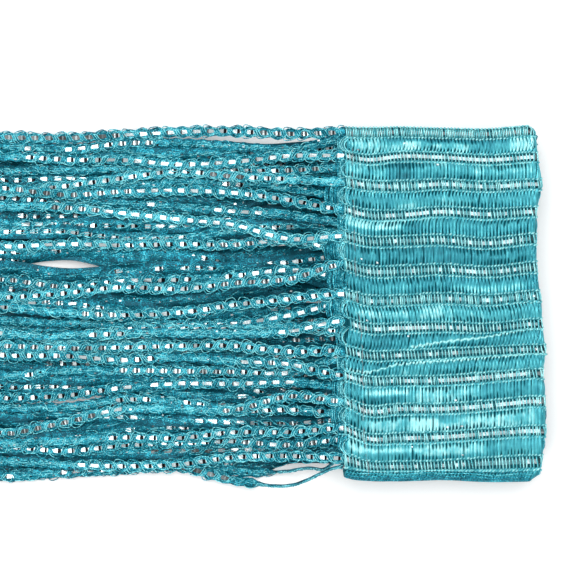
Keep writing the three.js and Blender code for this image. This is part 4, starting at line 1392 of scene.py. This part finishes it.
DEEP_TEAL = (0.004, 0.11, 0.155)
TEAL = (0.02, 0.30, 0.375)
LIGHT_TEAL = (0.05, 0.42, 0.5)
BRIGHT_TEAL = (0.09, 0.52, 0.58)
SLIT_SHADE_COLOUR = (0.001, 0.035, 0.05)
HOLE_SHADE_COLOUR = (0.001, 0.03, 0.045)
BACKING_SHADE_COLOUR = (0.002, 0.085, 0.115)
PLAIN_FOIL = (0.3, 0.31, 0.32)
WEFT_COLOURS = [
    (0.0, (0.003, 0.09, 0.13)),
    (0.4, (0.02, 0.29, 0.365)),
    (0.7, (0.08, 0.5, 0.57)),
    (1.0, (0.42, 0.93, 0.95)),
]
YARN_COLOURS = [
    (0.0, (0.002, 0.066, 0.096)),
    (0.35, (0.006, 0.22, 0.31)),
    (0.65, (0.03, 0.475, 0.6)),
    (1.0, (0.34, 0.93, 0.98)),
]
# Foil from black to white, with dull teals from 0.39 to 0.5 for the ribs: painted reflections of
# light and dark on the silver
FOIL_AND_REFLECTION_COLOURS = [
    (0.0, (0.006, 0.006, 0.007)),
    (0.14, (0.02, 0.026, 0.03)),
    (0.3, (0.1, 0.112, 0.115)),
    (0.36, (0.1, 0.112, 0.115)),
    (0.39, (0.01, 0.055, 0.065)),
    (0.42, (0.035, 0.09, 0.1)),
    (0.5, (0.06, 0.145, 0.16)),
    (0.6, (0.15, 0.2, 0.21)),
    (0.68, (0.2, 0.26, 0.27)),
    (0.86, (0.44, 0.53, 0.55)),
    (1.0, (0.8, 0.9, 0.92)),
]
SKY_GREYS = [(0.0, 0.9), (0.12, 0.85), (0.4, 0.28), (1.0, 0.5)]


class Nodes:
    """A material's node tree and its shader."""

    def __init__(self, name, metallic=0.0, roughness=0.5, specular=0.5):
        self.material = bpy.data.materials.new(name)
        self.material.use_nodes = True
        self.tree = self.material.node_tree
        self.shader = self.tree.nodes["Principled BSDF"]
        self.set("Metallic", metallic)
        self.set("Roughness", roughness)
        self.set("Specular IOR Level", specular)

    def set(self, name, value):
        feed(self.tree, self.shader.inputs[name], value)

    def math(self, operation, *values, clamp=False):
        node = self.tree.nodes.new("ShaderNodeMath")
        node.operation = operation
        node.use_clamp = clamp
        for socket, value in zip(node.inputs, values):
            feed(self.tree, socket, value)
        return node.outputs[0]

    def mix(self, factor, first, second):
        node = self.tree.nodes.new("ShaderNodeMix")
        node.data_type = "RGBA"
        values = {"Factor": factor, "A": first, "B": second}
        for socket in node.inputs:
            if socket.enabled and socket.name in values:
                feed(self.tree, socket, values[socket.name])
        return next(socket for socket in node.outputs if socket.enabled)

    def tone(self):
        node = self.tree.nodes.new("ShaderNodeAttribute")
        node.attribute_name = "tone"
        return node.outputs["Fac"]

    def cloth(self):
        """u and v of the cloth, counted in wefts and in ribs."""
        node = self.tree.nodes.new("ShaderNodeUVMap")
        node.uv_map = "cloth"
        parted = self.tree.nodes.new("ShaderNodeSeparateXYZ")
        feed(self.tree, parted.inputs[0], node.outputs["UV"])
        return parted.outputs["X"], parted.outputs["Y"]

    def noise(self, scale):
        node = self.tree.nodes.new("ShaderNodeTexNoise")
        node.inputs["Scale"].default_value = scale
        node.inputs["Detail"].default_value = 2.0
        coordinates = self.tree.nodes.new("ShaderNodeTexCoord")
        feed(self.tree, node.inputs["Vector"], coordinates.outputs["Object"])
        return node.outputs["Fac"]

    def bump(self, height, distance, strength=1.0):
        node = self.tree.nodes.new("ShaderNodeBump")
        node.inputs["Strength"].default_value = strength
        node.inputs["Distance"].default_value = distance
        feed(self.tree, node.inputs["Height"], height)
        self.set("Normal", node.outputs["Normal"])


def feed(tree, socket, value):
    """Sets a socket to a number or a colour, or links an output to it."""
    if isinstance(value, (int, float)):
        socket.default_value = value
    elif isinstance(value, tuple):
        socket.default_value = (*value, 1.0)
    else:
        tree.links.new(value, socket)


def ramp(tree, value, stops):
    node = tree.nodes.new("ShaderNodeValToRGB")
    elements = node.color_ramp.elements
    while len(elements) < len(stops):
        elements.new(0.5)
    for element, (place, colour) in zip(elements, stops):
        element.position = place
        element.color = (*colour, 1.0)
    feed(tree, node.inputs["Fac"], value)
    return node.outputs["Color"]


def yarn_material():
    nodes = Nodes("glitter_yarn", metallic=0.3, roughness=0.34, specular=0.14)
    speckle = nodes.math("MULTIPLY_ADD", nodes.noise(2300), 2.4, -1.2)
    tone = nodes.math("ADD", nodes.tone(), speckle)
    tone = nodes.math("ADD", tone, nodes.math("MULTIPLY_ADD", nodes.noise(380), 1.2, -0.6))
    nodes.set("Base Color", ramp(nodes.tree, tone, YARN_COLOURS))
    nodes.bump(nodes.noise(2600), 0.0001)
    return nodes.material


def foil_material():
    nodes = Nodes("silver_foil", metallic=0.6, roughness=0.25, specular=0.1)
    # The tone paints the foil's reflections of light and dark into its colour
    nodes.set("Base Color", ramp(nodes.tree, nodes.tone(), FOIL_AND_REFLECTION_COLOURS))
    nodes.bump(nodes.noise(1500), 0.0001, 0.5)
    return nodes.material


def satin_material():
    nodes = Nodes("satin_weft", metallic=0.4, roughness=0.36)
    u, _ = nodes.cloth()
    fibre = nodes.math("SINE", nodes.math("MULTIPLY", u, 2 * 2 * math.pi))
    shade = nodes.math("MULTIPLY_ADD", nodes.noise(420), 0.6, -0.3)
    tone = nodes.math("ADD", nodes.tone(), shade)
    tone = nodes.math("MULTIPLY_ADD", fibre, 0.05, tone)
    nodes.set("Base Color", ramp(nodes.tree, tone, WEFT_COLOURS))
    nodes.bump(fibre, 0.00004)
    return nodes.material


def weave_material():
    """The band's weave where it has no threads of its own: ribs, chains, slits and wefts."""
    nodes = Nodes("woven_band", roughness=0.45, specular=0.1)
    u, v = nodes.cloth()
    weft = nodes.math("PINGPONG", u, 0.5)
    rib = nodes.math("MULTIPLY", nodes.math("PINGPONG", v, 0.5), RIB_PITCH)
    crown = nodes.math("MULTIPLY", weft, 2.0)
    # Painted shade: each weft is lighter on its crown and darker between
    colour = ramp(nodes.tree, crown, [(0.0, DEEP_TEAL), (0.45, TEAL), (1.0, LIGHT_TEAL)])

    def near(place, width):
        away = nodes.math("ABSOLUTE", nodes.math("SUBTRACT", rib, place))
        return nodes.math("SUBTRACT", 1.0, nodes.math("DIVIDE", away, width), clamp=True)

    # Painted shade in the slits and in the holes beside the foil
    slit = nodes.math("MULTIPLY", near(2.7, 0.9), nodes.math("SUBTRACT", 1.0, crown))
    slit = nodes.math("MULTIPLY", slit, 2.2, clamp=True)
    colour = nodes.mix(slit, colour, SLIT_SHADE_COLOUR)
    hole = nodes.math("MULTIPLY", near(1.05, 0.35), crown)
    colour = nodes.mix(hole, colour, HOLE_SHADE_COLOUR)
    chain = nodes.math("MULTIPLY", near(CHAIN_PLACE, 0.4), 1.4, clamp=True)
    chain = nodes.math("MULTIPLY", chain, crown)
    colour = nodes.mix(chain, colour, BRIGHT_TEAL)
    foil = nodes.math("GREATER_THAN", RIB_FOIL_WIDTH / 2, rib)
    foil = nodes.math("MULTIPLY", foil, nodes.math("GREATER_THAN", crown, 0.3))
    colour = nodes.mix(foil, colour, PLAIN_FOIL)
    # Painted shade on the cloth where real threads lie over it
    covered = nodes.tone()
    nodes.set("Base Color", nodes.mix(covered, colour, BACKING_SHADE_COLOUR))
    shown = nodes.math("MULTIPLY", foil, nodes.math("SUBTRACT", 1.0, covered))
    nodes.set("Metallic", nodes.math("MULTIPLY_ADD", shown, 0.55, 0.35))
    chain = nodes.math("MULTIPLY", near(CHAIN_PLACE, 0.5), 1.5)
    nodes.bump(nodes.math("ADD", crown, chain), 0.0002)
    return nodes.material


# The room


def make_floor():
    bpy.ops.mesh.primitive_plane_add(size=8)
    floor = bpy.context.object
    floor.name = "floor"
    nodes = Nodes("pale_floor", roughness=0.9)
    nodes.set("Base Color", (0.92, 0.92, 0.92))
    nodes.set("Emission Color", (1.0, 1.0, 1.0))
    nodes.set("Emission Strength", 0.21)
    floor.data.materials.append(nodes.material)


def make_light(name, place, size, power):
    data = bpy.data.lights.new(name, "AREA")
    data.shape = "SQUARE"
    data.size = size
    data.energy = power
    light = bpy.data.objects.new(name, data)
    light.location = place
    aim = -np.asarray(place, float)
    pitch = math.atan2(math.hypot(aim[0], aim[1]), -aim[2])
    light.rotation_euler = (pitch, 0, math.atan2(-aim[0], aim[1]))
    bpy.context.scene.collection.objects.link(light)


def make_room():
    make_floor()
    make_light("key_light", (0.1, 0.55, 2.3), 1.9, 45)
    make_light("fill_light", (-1.4, -1.4, 1.6), 1.2, 18)
    room = bpy.data.worlds.new("room")
    bpy.context.scene.world = room
    room.use_nodes = True
    tree = room.node_tree
    coordinates = tree.nodes.new("ShaderNodeTexCoord")
    parted = tree.nodes.new("ShaderNodeSeparateXYZ")
    feed(tree, parted.inputs[0], coordinates.outputs["Generated"])
    sky = ramp(tree, parted.outputs["Z"], [(place, (grey,) * 3) for place, grey in SKY_GREYS])
    feed(tree, tree.nodes["Background"].inputs["Color"], sky)


def make_camera():
    data = bpy.data.cameras.new("camera")
    data.lens = LENS
    data.sensor_width = SENSOR
    data.clip_end = 20
    camera = bpy.data.objects.new("camera", data)
    distance = PICTURE_WIDTH / SENSOR * LENS
    camera.location = world([*PICTURE_MIDDLE, MEASURED_HEIGHT + distance])
    bpy.context.scene.collection.objects.link(camera)
    bpy.context.scene.camera = camera
    bpy.context.scene.view_settings.view_transform = "Standard"


make_camera()
make_room()
yarn = yarn_material()
satin = satin_material()
foil = foil_material()
strings = make_strings([yarn, foil])
cloth = make_sheet(weave_material())
threads = [
    make_wefts(satin),
    make_ribs([yarn, foil, satin]),
    make_trim([yarn, foil]),
    make_edge_loops(yarn),
    make_nose_loops(yarn),
]
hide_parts("heading")
